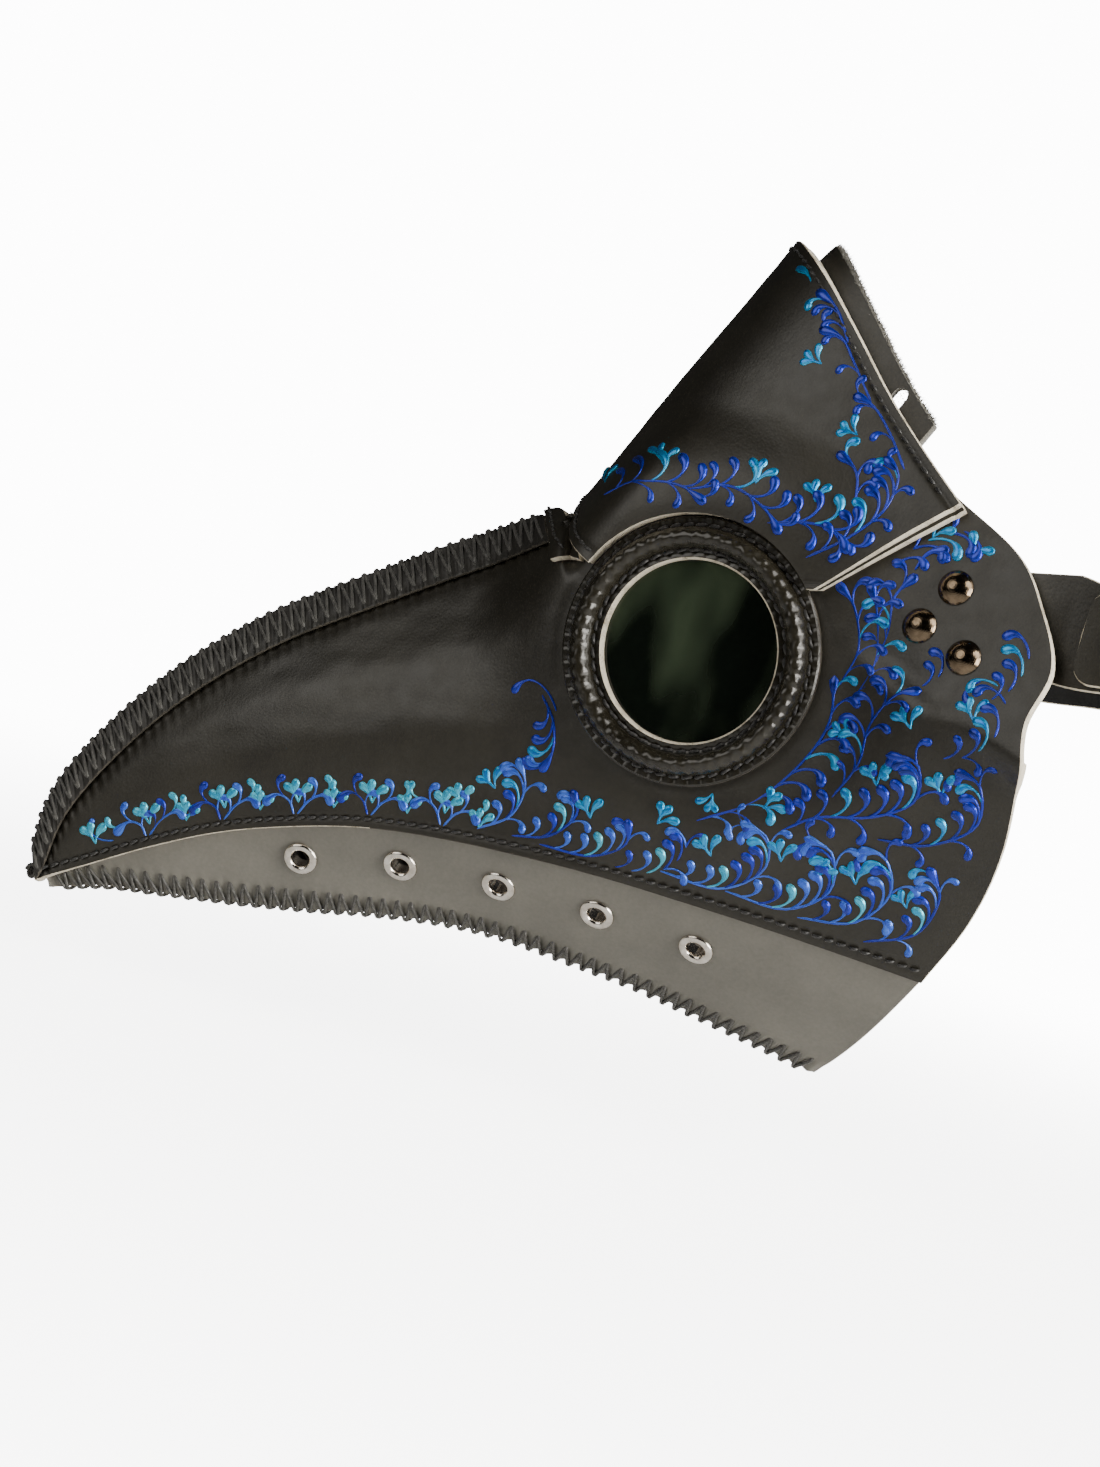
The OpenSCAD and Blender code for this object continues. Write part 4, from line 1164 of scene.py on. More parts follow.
def build_buckle_fold(skins):
    """The strap's end turns round the buckle's bar and back on itself, split where the prong stands."""
    bar, out, ahead = bar_place()
    inner_r = WIRE_D / 2 + 0.08
    a = np.linspace(-0.5 * math.pi, 0.5 * math.pi, 26)
    half = STRAP_W / 2 - OVER_MARGIN
    for number, (low, high) in enumerate(((-half, -FOLD_SPLIT), (FOLD_SPLIT, half))):
        zs = np.linspace(low, high, 9)
        nets = []
        for r in (FOLD_R, inner_r):
            ring = [bar + r * (np.cos(t) * ahead + np.sin(t) * out) for t in a]
            tail = [ring[0] - ahead * d for d in np.linspace(9, 1, 8)]
            lead = [ring[-1] - ahead * d for d in np.linspace(0.6, 1.8, 3)]
            rows = np.array(tail + ring + lead)
            nets.append(rows[:, None] + zs[None, :, None] * UP)
        fold = leather(f"buckle_fold_{number + 1}", nets[0][::-1], nets[1][::-1], skins)
        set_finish(fold, "black_leather")
        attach(fold, "left_head_strap")
        if number == 0:
            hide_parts("left_strap")


def build_keeper():
    """A loop of leather round the strap, sewn shut at the back."""
    at, out = strap_frame(ARC_LEN + 12)
    at = at + out * (OVER_LOW + LEATHER_T / 2)
    ahead = np.cross(UP, out)
    wide, deep, thick, r = (STRAP_W + 1.2) / 2, 1.5 * LEATHER_T, 1.6, 1.6
    t = np.linspace(0, 2 * math.pi, 97)[:-1]
    across = np.linspace(-4.5, 4.5, 9)
    nets = []
    for grow in (thick, 0.0):
        c, s = np.cos(t), np.sin(t)
        x = (deep + grow) * np.sign(c) * np.abs(c) ** 0.28
        z = (wide + grow) * np.sign(s) * np.abs(s) ** 0.28
        loop = at + x[:, None] * out + z[:, None] * UP
        nets.append(loop[:, None] + across[None, :, None] * ahead)
    outer, inner = nets
    n, m = len(t), len(across)
    index = np.arange(n * m).reshape(n, m)
    index = np.vstack([index, index[:1]])
    top, bottom = quads(index), quads(index)[:, ::-1] + n * m
    rims = [quads(np.stack([index[:, j], index[:, j] + n * m], -1)) for j in (0, m - 1)]
    kinds = [GRAIN] * len(top) + [FLESH] * len(bottom) + [CUT] * sum(len(r) for r in rims)
    points = np.vstack([outer.reshape(-1, 3), inner.reshape(-1, 3)])
    skins = [FINISHES["hide"], FINISHES["velvet"], FINISHES["edge"]]
    keeper = piece("keeper_loop", points, np.vstack([top, bottom] + rims).tolist(), skins, kinds)
    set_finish(keeper, "black_leather")
    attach(keeper, "keeper")
    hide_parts("strap_keeper")


# ---------------------------------------------------------------- crown strap

CROWN_PROUD, CROWN_OUT, CROWN_W, CROWN_T = 6.0, -1.2, 19.0, 3.0
CROWN_SLOT = (0.77, 0.1)


def crown_face(s, t):
    return brow(s, curve(HIGH_RISE, np.minimum(1, s)) + CROWN_PROUD - CROWN_W * (0.5 - t))


def build_crown_strap(tufts):
    """Smooth black face outwards, napped grey back that wraps over the top edge."""
    s = np.linspace(0.02, 0.86, 150)
    t = np.linspace(-0.5, 0.5, 30)
    smooth, nap = FINISHES["hide"], FINISHES["nap"]
    outer, inner = sheet_nets(crown_face, s, t, CROWN_OUT - CROWN_T, CROWN_OUT)
    narrow = ease(0.2, 0.26, s)[:, None, None]
    for net in (outer, inner):
        low = net[:, :1]
        net[:] = low + (net - low) * (0.58 + 0.42 * narrow)
    strap = leather("crown_strap_leather", outer, inner, [smooth, nap, nap], bulge=0.5)
    spot = [np.array(share) for share in CROWN_SLOT]
    at, n = crown_face(*spot), normal(crown_face, *spot)
    flat = unit(n * np.array([1, 1, 0]))
    way = np.array([0, math.sin(LEAN), math.cos(LEAN)])
    across = unit(np.cross(way, flat))
    r = 2.0
    skins = [smooth, nap, nap]
    cut(strap, [slot_plug(at, across, way, 12 * flat, r, (CROWN_W - 7) / 2 - r, skins, 32, 0.01)])
    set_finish(strap, "suede")
    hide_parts("crown_strap", "crown_strap_root")
    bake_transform(strap)
    build_nap(tufts)


def build_nap(count):
    """Short tufts of nap that stand up along the strap's top edge and back."""
    rng = np.random.default_rng(61)
    s = rng.uniform(0.262, 0.858, count)
    t = np.where(rng.uniform(size=count) < 0.62, rng.uniform(0.44, 0.5, count), rng.uniform(-0.5, 0.5, count))
    p, n = crown_face(s, t), normal(crown_face, s, t)
    top = t > 0.43
    way = np.array([0, math.sin(LEAN), math.cos(LEAN)])
    depth = np.where(top, rng.uniform(0, 1, count) * CROWN_T, CROWN_T)
    base = p + n * (CROWN_OUT - depth)[:, None] + way * np.where(top, (0.5 - t) * CROWN_W, 0)[:, None]
    lie = np.where(top[:, None], way, -n) + rng.normal(0, 0.55, (count, 3))
    long = np.where(top, rng.uniform(0.6, 1.5, count), rng.uniform(0.5, 1.1, count))
    steps = np.linspace(0, 1, 4)[None, :, None]
    curl = rng.normal(0, 0.45, (count, 3))[:, None] * steps**2
    lines = base[:, None] + (unit(lie)[:, None] * steps + curl * 0.5) * long[:, None, None]
    thin = 0.13 * (1 - 0.8 * steps[..., 0]) * np.ones((count, 1))
    points, faces, _ = tubes(lines, thin, thin, np.broadcast_to(n[:, None], lines.shape) + 0.01, sides=4)
    tufts = piece("crown_strap_nap", points, faces, [FINISHES["nap"]], crease=80)
    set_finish(tufts, "suede")
    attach(tufts, "crown")


# ---------------------------------------------------------------- painted vines

# sky and pale are lighter copies of the blue and cyan enamels, given to strokes low on the side panel:
# painted light from below.
HUES = ("royal", "sky", "cyan", "pale")
ROYAL, PAINTED_LIGHTER_BLUE, CYAN, PAINTED_LIGHTER_CYAN = range(4)


class Brush:
    """Collects strokes in the side view's (y, z) millimetres and lays them on a surface as raised paint."""

    def __init__(self, surface, out, guess, hue=None):
        self.surface, self.out, self.guess, self.hue = surface, out, guess, hue
        self.strokes = []

    def stroke(self, corners, head, hue):
        """A thin tail that swells into a round head of this diameter, along a cubic curve."""
        t = np.linspace(0, 1, 22)[:, None]
        a, b, c, d = np.array(corners, float)
        line = (1 - t) ** 3 * a + 3 * t * (1 - t) ** 2 * b + 3 * t * t * (1 - t) * c + t**3 * d
        self.strokes.append((line, head, hue))

    def hook(self, root, way, size, hand, head, hue=None):
        """Leaves its root along "way" degrees and curls over: to the left for hand 1, to the right for -1."""
        ahead = np.array([math.cos(math.radians(way)), math.sin(math.radians(way))])
        out = np.array([-ahead[1], ahead[0]]) * hand
        root = np.array(root, float)
        self.stroke([root, root + 0.55 * size * ahead, root + size * (0.98 * ahead + 0.42 * out),
                     root + size * (0.55 * ahead + 0.78 * out)], head, hue)

    def drops(self, root, way, size, count=3, hue=CYAN):
        """A small fan of round-headed drops."""
        for k in range(count):
            turn = math.radians(way + 42 * (k - (count - 1) / 2))
            ahead = np.array([math.cos(turn), math.sin(turn)])
            out = np.array([-ahead[1], ahead[0]]) * (0.2 if 2 * k < count else -0.2)
            root = np.array(root, float)
            self.stroke([root, root + size * (0.35 * ahead + out), root + size * (0.7 * ahead + out),
                         root + size * ahead], 0.4 * size, hue)

    def frond(self, points, hand, size=6.5, step=4.6, inner=0.0):
        """A curled stem with a round head, and a comb of drops along its outer side."""
        t = np.linspace(0, 1, 70)
        stem = curve([(*p, 0) for p in points], t)[:, :2]
        run = np.append(0, np.cumsum(np.linalg.norm(np.diff(stem, axis=0), axis=1)))
        self.strokes.append((stem, 2.8, self.hue))
        for k, place in enumerate(np.arange(0.7 * step, run[-1] - 2.2, step)):
            i = int(np.searchsorted(run, place))
            ahead = stem[min(i + 1, 69)] - stem[i - 1]
            way = math.degrees(math.atan2(ahead[1], ahead[0]))
            grow = size * (0.85 + 0.4 * math.sin(math.pi * place / run[-1]))
            hue = CYAN if k % 4 == 2 else self.hue
            self.hook(stem[i], way + hand * 12, grow, hand, 0.24 * grow + 0.8, hue)
            if inner and k % 2:
                self.hook(stem[i], way - hand * 10, inner * grow, -hand, 0.22 * grow + 0.5, self.hue)

    def lay(self, name, rings=22):
        """One mesh with every stroke, each a low dome over its own centre line."""
        rng = np.random.default_rng(71)
        t = np.linspace(0, 1, rings)
        lines, halves, hues = [], [], []
        for path, head, hue in self.strokes:
            run = np.append(0, np.cumsum(np.linalg.norm(np.diff(path, axis=0), axis=1)))
            r = head / 2
            back = 1 - t
            at = run[-1] * (1 - back**1.25)
            lines.append(np.stack([np.interp(at, run, path[:, k]) for k in (0, 1)], -1))
            left = run[-1] - at
            swell = 0.24 + 0.76 * ease(min(4.2 * r, run[-1]), 1.1 * r, left)
            cap = np.sqrt(np.clip(1 - np.clip(1 - left / r, 0, 1) ** 2, 0.02, 1))
            halves.append(r * swell * cap * np.sqrt(np.clip(at / 0.8, 0.15, 1)))
            # Strokes low on the panel get the lighter sky and pale enamels: painted light, for the light that
            # falls on the lower panel from below.
            low = path[:, 1].mean()
            if hue is None:
                hue = ROYAL if low > -36 or rng.uniform() < 0.25 else PAINTED_LIGHTER_BLUE
            elif hue == CYAN and low < -50:
                hue = PAINTED_LIGHTER_CYAN
            hues.append(hue)
        flat, halves = np.array(lines), np.array(halves)
        u, v = locate(self.surface, flat[..., 0], flat[..., 1], self.guess)
        n = normal(self.surface, u, v)
        centres = self.surface(u, v) + n * (self.out + 0.03)
        keep = self.clear(u, v, centres)
        centres, halves, n, hues = centres[keep], halves[keep], n[keep], np.array(hues)[keep]
        points, faces, tags = tubes(centres, halves, 0.14 + 0.42 * halves, n, sides=10)
        kinds = np.repeat(hues, len(faces) // len(centres))
        obj = piece(name, points, faces, [FINISHES[h] for h in HUES], kinds, crease=60)
        chance = np.repeat(rng.uniform(size=len(centres)), rings * 10)
        colours = np.stack([tags[:, 0], tags[:, 1], chance, np.ones(len(chance))], -1)
        attribute = obj.data.attributes.new("stroke", "FLOAT_COLOR", "POINT")
        attribute.data.foreach_set("color", colours.astype(np.float32).ravel())
        return obj

    def clear(self, u, v, centres):
        """Strokes that stay on the leather: inside its edges, off the eye ring and off the rivets."""
        inside = ((u > 0.005) & (u < 0.985) & (v > 0.035) & (v < 0.985)).all(1)
        eye = np.linalg.norm(np.cross(centres - EYE, EYE_N), axis=-1).min(1)
        caps = np.array([v.co for v in frame["nodes"]["left_rivets"].data.vertices]) / MM
        gap = np.linalg.norm(centres[:, :, None] - caps[None, None, ::12], axis=-1).min((1, 2))
        return inside & (eye > RING_R + 0.7) & (gap > 0.9)


def build_vines():
    brush = Brush(side, 0.0, (0.8, 0.6))
    # border along the seam: pairs of curls with a trefoil between them
    seam = [(y, z) for _, y, z in SEAM[:7]]
    for y in range(-138, -50, 21):
        z, nearby = (float(np.interp(place, *zip(*seam))) for place in (y, y + 5))
        slope = (nearby - z) / 5
        for way in (-1, 1):
            arc = [(y + way * dy, z + 3.6 + dz + slope * way * dy)
                   for dy, dz in ((0.5, 0), (3, 4), (7, 5.6), (10, 2.6))]
            brush.frond(arc, way, 4.6, 3.4)
        brush.drops((y, z + 7), 90 + math.degrees(math.atan(slope)), 6.5)
        brush.drops((y + 10.5, z + 5.5 + 10.5 * slope), 95, 5.5)
    brush.drops((-153, -99.5), 115, 6.5)
    brush.hook((-148, -97), 205, 9, -1, 1.9)
    # from the border up to the left of the ring
    brush.frond([(-44, -62), (-36, -56), (-34, -47), (-38, -40)], 1, 6.5, inner=0.8)
    brush.frond([(-34, -61), (-24, -58), (-18, -50), (-21, -44)], 1, 6, inner=0.8)
    brush.frond([(-36, -22), (-31, -28), (-29, -36), (-31, -42)], -1, 6.5, 4.2)
    brush.hook((-31, -25), 120, 14, 1, 2.4)
    brush.frond([(-26, -61), (-12, -60), (-3, -54), (-4, -47)], 1, 6, inner=0.9)
    brush.frond([(-8, -61), (6, -59), (13, -51), (10, -44)], 1, 6, inner=0.9)
    # up the right of the ring
    brush.frond([(14, -42), (27, -33), (36, -20), (40, -8), (38, 4)], -1, 7, 4.8)
    brush.frond([(40, 2), (42, 12), (38, 22), (32, 27)], -1, 6.5, 4.6)
    brush.frond([(44, -2), (47, 10), (44, 22), (40, 29)], -1, 6, 4.8)
    # the rear of the panel
    brush.frond([(8, -58), (24, -58), (34, -50), (33, -41), (25, -39)], 1, 6.5, inner=0.9)
    brush.frond([(26, -58), (42, -58), (52, -50), (50, -40), (42, -38)], 1, 7, inner=0.9)
    brush.frond([(46, -59), (60, -56), (67, -46), (63, -37), (56, -37)], 1, 6.5, inner=0.9)
    brush.frond([(64, -60), (76, -54), (79, -43), (74, -36)], 1, 6, inner=0.8)
    brush.frond([(36, -38), (44, -32), (57, -28), (66, -21), (64, -12), (56, -12)], 1, 7, inner=0.9)
    brush.frond([(60, -33), (72, -31), (82, -23), (80, -13), (73, -11)], 1, 6, inner=0.9)
    brush.frond([(46, -26), (50, -16), (50, -6), (54, 3), (60, 6)], 1, 6.5, inner=0.8)
    brush.frond([(66, -10), (76, -6), (81, 4), (77, 12), (70, 11)], 1, 6.5, inner=0.8)
    brush.frond([(47, 8), (48, 18), (47, 27), (51, 34)], 1, 6.5)
    brush.frond([(44, 33), (49, 41), (57, 47), (65, 47)], -1, 7, inner=0.6)
    brush.frond([(57, 5), (62, 9), (64, 14), (61, 17)], 1, 5.5)
    brush.frond([(74, 6), (81, 13), (82, 24), (76, 32)], 1, 6.5)
    brush.frond([(50, 35), (52, 40), (57, 42)], -1, 5.5)
    for root, way, size in (
            ((-50, -57), 110, 6), ((-42, -50), 130, 6), ((-14, -50), 110, 6), ((4, -46), 60, 6),
            ((20, -50), 120, 6), ((30, -34), 50, 6), ((46, -10), 150, 5.5), ((38, -46), 100, 6),
            ((58, -46), 110, 6), ((72, -48), 120, 5), ((56, -20), 110, 6), ((72, -18), 110, 6),
            ((60, -4), 120, 6), ((74, 2), 110, 6), ((52, 44), 70, 6), ((62, 42), 60, 6),
            ((76, 38), 300, 5), ((48, -47), 70, 5.5), ((16, -34), 260, 5)):
        brush.drops(root, way, size)
    painted(brush, "left_painted_vines")

    top = LAYER_GAP + 2 * LEATHER_T + SEAT_GAP
    brush = Brush(brow_face, top, (0.6, 0.3), hue=ROYAL)
    brush.frond([(-30, 32), (-22, 38), (-13, 40), (-5, 38)], 1, 6, 4.2, inner=0.8)
    brush.frond([(-10, 40), (0, 43), (10, 40), (16, 35)], 1, 6, 4.2, inner=0.8)
    brush.frond([(12, 37), (22, 39), (30, 38), (34, 34)], 1, 7, 4.2, inner=0.9)
    brush.frond([(24, 31), (33, 38), (40, 47), (41, 56), (36, 60)], 1, 7, 4.6, inner=0.6)
    brush.frond([(32, 45), (30, 54), (24, 58)], -1, 6, 4.4)
    brush.frond([(42, 58), (36, 66), (30, 72), (24, 74)], -1, 6, 4.6, inner=0.8)
    brush.frond([(29, 73), (22, 82), (17, 88), (11, 89)], -1, 6, 4.6, inner=0.8)
    brush.frond([(19, 87), (14, 95), (8, 99)], 1, 5.5, 4.2)
    for root, way, size in (
            ((-32, 36), 110, 5.5), ((-18, 43), 100, 5.5), ((6, 45), 80, 6), ((22, 44), 100, 5.5),
            ((28, 64), 150, 5.5), ((14, 80), 150, 5.5), ((6, 101), 100, 5.5)):
        brush.drops(root, way, size)
    painted(brush, "left_forehead_vines")


def painted(brush, name):
    left = brush.lay(name)
    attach(left, "mask")
    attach(mirror_piece(left, name.replace("left_", "right_")), "mask")


# ---------------------------------------------------------------- floor, light and camera

VIEW_TURN, VIEW_TILT, VIEW_ROLL = -8, -2, 16
VIEW_LEFT, VIEW_DOWN = 36.8, 21.5


def area_light(name, at, target, size, watts, colour=(1, 0.965, 0.9)):
    light = bpy.data.lights.new(name, "AREA")
    light.shape, light.size, light.energy, light.color = "DISK", size, watts, colour
    obj = bpy.data.objects.new(name, light)
    bpy.context.scene.collection.objects.link(obj)
    obj.location = at
    obj.rotation_euler = (Vector(target) - Vector(at)).to_track_quat("-Z", "Y").to_euler()


def white_paper(backdrop):
    """Matt white paper that fades into the bright backdrop away from the mask."""
    f = Finish("white_paper", Roughness=0.9)
    far = f.add("ShaderNodeVectorMath", {0: f.where}, operation="LENGTH").outputs["Value"]
    fade = f.add("ShaderNodeMapRange", {"Value": far}, interpolation_type="SMOOTHSTEP")
    fade.inputs["From Min"].default_value, fade.inputs["From Max"].default_value = 0.1, 0.9
    f.set(f.shader, "Base Color", (0.92, 0.92, 0.92))
    seen = f.add("ShaderNodeLightPath").outputs["Is Camera Ray"]
    glow = f.add("ShaderNodeEmission", {"Strength": f.maths("MULTIPLY", seen, backdrop)})
    haze = f.add("ShaderNodeEmission", {"Strength": f.maths("MULTIPLY", seen, 0.45 * backdrop)})
    near = f.add("ShaderNodeAddShader", {0: f.shader.outputs[0], 1: haze.outputs[0]})
    mix = f.add("ShaderNodeMixShader", {0: fade.outputs[0], 1: near.outputs[0], 2: glow.outputs[0]})
    f.tree.links.new(mix.outputs[0], f.tree.nodes["Material Output"].inputs["Surface"])
    return f.material


def build_stage(look):
    scene = bpy.context.scene
    world = bpy.data.worlds.new("pale_room")
    world.use_nodes = True
    nodes, links = world.node_tree.nodes, world.node_tree.links
    soft = nodes["Background"]
    way = nodes.new("ShaderNodeSeparateXYZ")
    links.new(nodes.new("ShaderNodeTexCoord").outputs["Generated"], way.inputs[0])
    shade = nodes.new("ShaderNodeMapRange")
    for socket, value in (("From Min", 0.75), ("From Max", -0.5), ("To Min", 0.22 * look.room_light),
                          ("To Max", 1.5 * look.room_light)):
        shade.inputs[socket].default_value = value
    links.new(way.outputs["X"], shade.inputs["Value"])
    links.new(shade.outputs[0], soft.inputs["Strength"])
    seen = nodes.new("ShaderNodeBackground")
    seen.inputs["Color"].default_value = (1, 1, 1, 1)
    seen.inputs["Strength"].default_value = look.backdrop
    path, mix = nodes.new("ShaderNodeLightPath"), nodes.new("ShaderNodeMixShader")
    links.new(path.outputs["Is Camera Ray"], mix.inputs[0])
    links.new(soft.outputs[0], mix.inputs[1])
    links.new(seen.outputs[0], mix.inputs[2])
    links.new(mix.outputs[0], nodes["World Output"].inputs[0])
    scene.world = world

    bpy.ops.mesh.primitive_plane_add(size=8, location=(0, 0, look.floor_height))
    floor = bpy.context.object
    floor.name = "studio_floor"
    floor.data.materials.append(white_paper(look.backdrop))

    area_light("key", (0.55, 0.75, 0.75), (0, 0, 0), 0.7, look.key_light)
    area_light("flank", (0.45, 1.05, 0.05), (0.04, 0, 0), 0.9, look.flank_light)
    area_light("front", (0.75, -0.75, 0.45), (0, -0.05, -0.02), 0.9, look.front_light)

    turn, tilt, roll = (math.radians(x) for x in (VIEW_TURN, VIEW_TILT, VIEW_ROLL))
    ahead = -np.array([math.cos(tilt) * math.cos(turn), -math.cos(tilt) * math.sin(turn), -math.sin(tilt)])
    level = unit(np.cross(ahead, UP))
    rise = np.cross(level, ahead)
    right = math.cos(roll) * level + math.sin(roll) * rise
    top = -math.sin(roll) * level + math.cos(roll) * rise
    at = EYE - look.distance / MM * ahead - VIEW_LEFT * right - VIEW_DOWN * top
    data = bpy.data.cameras.new("side_camera")
    data.lens, data.sensor_width, data.sensor_fit = look.lens, 36, "AUTO"
    data.clip_start, data.dof.use_dof = 0.01, False
    camera = bpy.data.objects.new("side_camera", data)
    scene.collection.objects.link(camera)
    facing = Matrix(np.stack([right, top, -ahead], 1)).to_4x4()
    camera.matrix_world = Matrix.Translation(Vector(at * MM)) @ facing
    scene.camera = camera


# ---------------------------------------------------------------- settings

def tint(name, description, colour):
    return bpy.props.FloatVectorProperty(name=name, description=description, subtype="COLOR", size=3,
                                         min=0, max=1, default=colour)


def length_setting(name, description, metres, low, high):
    return bpy.props.FloatProperty(name=name, description=description, subtype="DISTANCE", unit="LENGTH",
                                   default=metres, min=low, max=high)


def power_setting(name, description, power):
    return bpy.props.FloatProperty(name=name, description=description, unit="POWER", default=power, min=0,
                                   max=500)


class MASK_PG_tints(bpy.types.PropertyGroup):
    hide_dark: tint("Hide, dark", "Darker tone of the black panels", (0.0085, 0.0074, 0.0046))
    hide_light: tint("Hide, light", "Lighter tone of the black panels", (0.022, 0.0195, 0.0125))
    # The jaw panels are the same black hide as the side panels; their grey tones are painted light, for the
    # light that falls on them from below.
    jaw_painted_lit_dark: tint("Jaw, dark", "Darker tone of the grey jaw panels", (0.135, 0.130, 0.112))
    jaw_painted_lit_light: tint("Jaw, light", "Lighter tone of the grey jaw panels", (0.205, 0.196, 0.170))
    edge_pale: tint("Edge, pale", "Clean fibre of a cut edge", (0.72, 0.66, 0.53))
    edge_deep: tint("Edge, soiled", "Soiled fibre of a cut edge", (0.24, 0.2, 0.14))
    thread: tint("Thread", "Waxed thread", (0.006, 0.006, 0.006))
    # The lacing is black thread; its tone, lighter than the stitching thread, is painted sheen for the
    # highlights along it.
    lacing: tint("Lacing", "Thicker thread of the ridge and the keel", (0.034, 0.033, 0.03))
    rivet: tint("Rivet", "Smoked plating of the rivet caps", (0.2, 0.15, 0.1))
    paint_deep: tint("Paint, deep", "Middle of a royal blue stroke", (0.006, 0.018, 0.22))


class MASK_PG_pattern(bpy.types.PropertyGroup):
    eyelet_hole: length_setting("Eyelet hole", "Diameter of the hole in the leather", 0.0062, 0.0061, 0.009)
    thread_gauge: length_setting("Thread", "Thickness of the lacing thread", 0.00105, 0.0005, 0.0012)
    tufts: bpy.props.IntProperty(name="Tufts", description="Tufts of nap on the crown strap",
                                 default=5200, min=0, max=8000)


class MASK_PG_look(bpy.types.PropertyGroup):
    room_light: bpy.props.FloatProperty(name="Room light", description="Strength of the even light all round",
                                        default=0.42, min=0, max=5)
    backdrop: bpy.props.FloatProperty(name="Backdrop", description="Brightness of the background in view",
                                      default=13.0, min=0, max=20)
    key_light: power_setting("Key light", "Power of the light above", 8.0)
    flank_light: power_setting("Flank light", "Power of the light behind the rear edge", 36.0)
    front_light: power_setting("Front light", "Power of the light before the beak", 5.0)
    floor_height: length_setting("Floor", "Height of the floor under the mask", -0.135, -1, -0.125)
    distance: length_setting("Distance", "Camera's distance in front of the left eye", 0.5777, 0.2, 3)
    lens: bpy.props.FloatProperty(name="Lens", description="Focal length in millimetres", default=54.11,
                                  min=20, max=200)


# ---------------------------------------------------------------- operators

def check_frame_nodes(*names):
    missing = [n for n in names if n not in frame["nodes"]]
    if missing:
        raise RuntimeError("the frame has no node " + ", ".join(missing))


class MASK_OT_finishes(bpy.types.Operator):
    """Make the leather, thread, metal, glass and paint finishes"""
    bl_idname = "mask.finishes"
    bl_label = "Finishes"

    def execute(self, context):
        make_finishes(context.scene.mask_tints)
        return {"FINISHED"}


class MASK_OT_panels(bpy.types.Operator):
    """Build the side and jaw panels with their seam stitches"""
    bl_idname = "mask.panels"
    bl_label = "Side and Jaw Panels"

    def execute(self, context):
        check_frame_nodes("left_side_panel", "left_jaw_panel", "left_eyelets")
        build_panels(context.scene.mask_pattern)
        return {"FINISHED"}


class MASK_OT_forehead(bpy.types.Operator):
    """Build the two layers of the forehead with their stitches"""
    bl_idname = "mask.forehead"
    bl_label = "Forehead"

    def execute(self, context):
        check_frame_nodes("forehead_panel", "forehead_lining")
        build_forehead()
        return {"FINISHED"}


class MASK_OT_lacing(bpy.types.Operator):
    """Build the ridge binding, the zigzag lacing, the tip knot and the nose bridge patch"""
    bl_idname = "mask.lacing"
    bl_label = "Binding and Lacing"

    def execute(self, context):
        check_frame_nodes("ridge_binding", "ridge_thread", "keel_thread", "nose_bridge_patch")
        build_lacing(context.scene.mask_pattern)
        return {"FINISHED"}


class MASK_OT_eyes(bpy.types.Operator):
    """Build the padded eye rings and give the glasses and retainers their finishes"""
    bl_idname = "mask.eyes"
    bl_label = "Eye Rings"

    def execute(self, context):
        check_frame_nodes("left_eye_ring", "left_ring_padding", "left_lens")
        build_eyes()
        return {"FINISHED"}


class MASK_OT_fittings(bpy.types.Operator):
    """Give the eyelets, rivets and buckle their metal finishes"""
    bl_idname = "mask.fittings"
    bl_label = "Metal Fittings"

    def execute(self, context):
        check_frame_nodes("left_rivets", "buckle_frame")
        build_fittings()
        return {"FINISHED"}


class MASK_OT_straps(bpy.types.Operator):
    """Build the head straps, their roots, the buckle's fold and the keeper"""
    bl_idname = "mask.straps"
    bl_label = "Head Straps"

    def execute(self, context):
        check_frame_nodes("left_strap", "right_strap", "strap_keeper")
        build_straps()
        return {"FINISHED"}


class MASK_OT_crown(bpy.types.Operator):
    """Build the crown strap and its nap"""
    bl_idname = "mask.crown"
    bl_label = "Crown Strap"

    def execute(self, context):
        check_frame_nodes("crown_strap", "crown_strap_root")
        build_crown_strap(context.scene.mask_pattern.tufts)
        return {"FINISHED"}


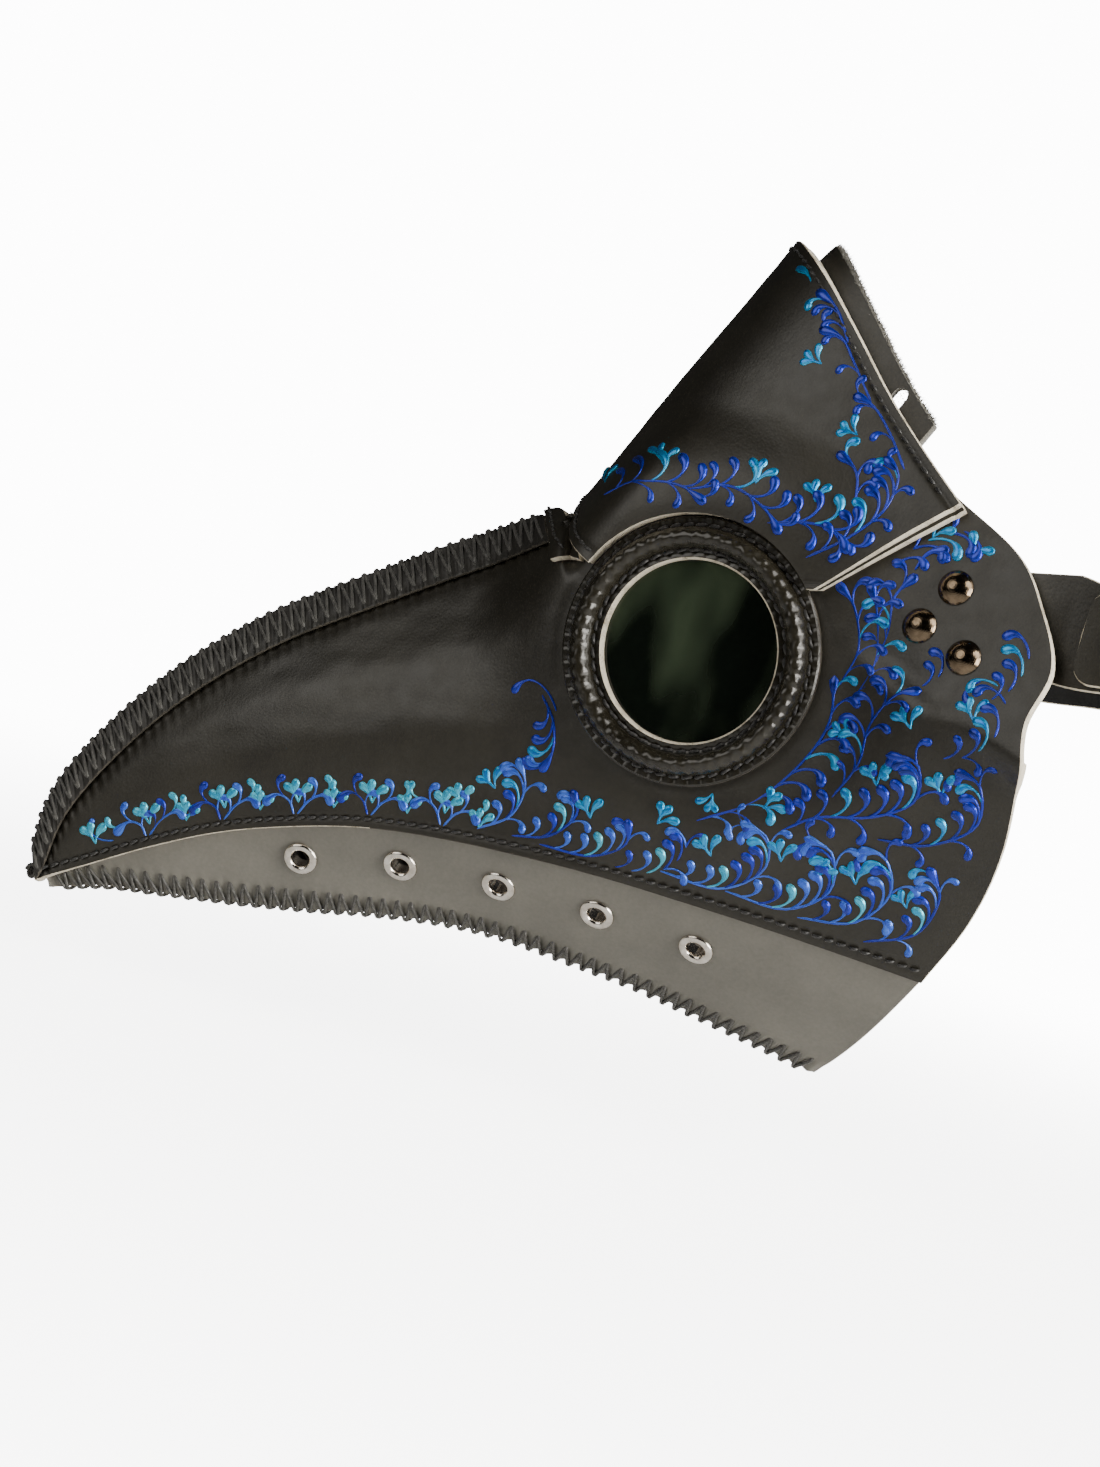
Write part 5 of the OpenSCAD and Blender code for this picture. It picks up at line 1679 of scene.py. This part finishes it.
class MASK_OT_vines(bpy.types.Operator):
    """Paint the raised vines on the panels and the forehead"""
    bl_idname = "mask.vines"
    bl_label = "Painted Vines"

    def execute(self, context):
        build_vines()
        return {"FINISHED"}


class MASK_OT_stage(bpy.types.Operator):
    """Set up the floor, the lights and the camera"""
    bl_idname = "mask.stage"
    bl_label = "Stage"

    def execute(self, context):
        build_stage(context.scene.mask_look)
        return {"FINISHED"}


OPERATORS = (MASK_OT_finishes, MASK_OT_panels, MASK_OT_forehead, MASK_OT_lacing, MASK_OT_eyes,
             MASK_OT_fittings, MASK_OT_straps, MASK_OT_crown, MASK_OT_vines, MASK_OT_stage)


class MASK_PT_main(bpy.types.Panel):
    bl_idname = "MASK_PT_main"
    bl_label = "Plague Doctor Mask"
    bl_space_type = "VIEW_3D"
    bl_region_type = "UI"
    bl_category = "Mask"

    def draw(self, context):
        for group in ("mask_tints", "mask_pattern", "mask_look"):
            box = self.layout.box()
            settings = getattr(context.scene, group)
            for name in settings.__annotations__:
                box.prop(settings, name)
        for operator in OPERATORS:
            self.layout.operator(operator.bl_idname)


CLASSES = (MASK_PG_tints, MASK_PG_pattern, MASK_PG_look, *OPERATORS, MASK_PT_main)


def register():
    for cls in CLASSES:
        bpy.utils.register_class(cls)
    bpy.types.Scene.mask_tints = bpy.props.PointerProperty(type=MASK_PG_tints)
    bpy.types.Scene.mask_pattern = bpy.props.PointerProperty(type=MASK_PG_pattern)
    bpy.types.Scene.mask_look = bpy.props.PointerProperty(type=MASK_PG_look)


def unregister():
    for name in ("mask_tints", "mask_pattern", "mask_look"):
        delattr(bpy.types.Scene, name)
    for cls in reversed(CLASSES):
        bpy.utils.unregister_class(cls)


def main():
    register()
    bpy.ops.mask.finishes()
    bpy.ops.mask.panels()
    bpy.ops.mask.forehead()
    bpy.ops.mask.lacing()
    bpy.ops.mask.eyes()
    bpy.ops.mask.fittings()
    bpy.ops.mask.straps()
    bpy.ops.mask.crown()
    bpy.ops.mask.vines()
    bpy.ops.mask.stage()


if __name__ == "__main__":
    main()
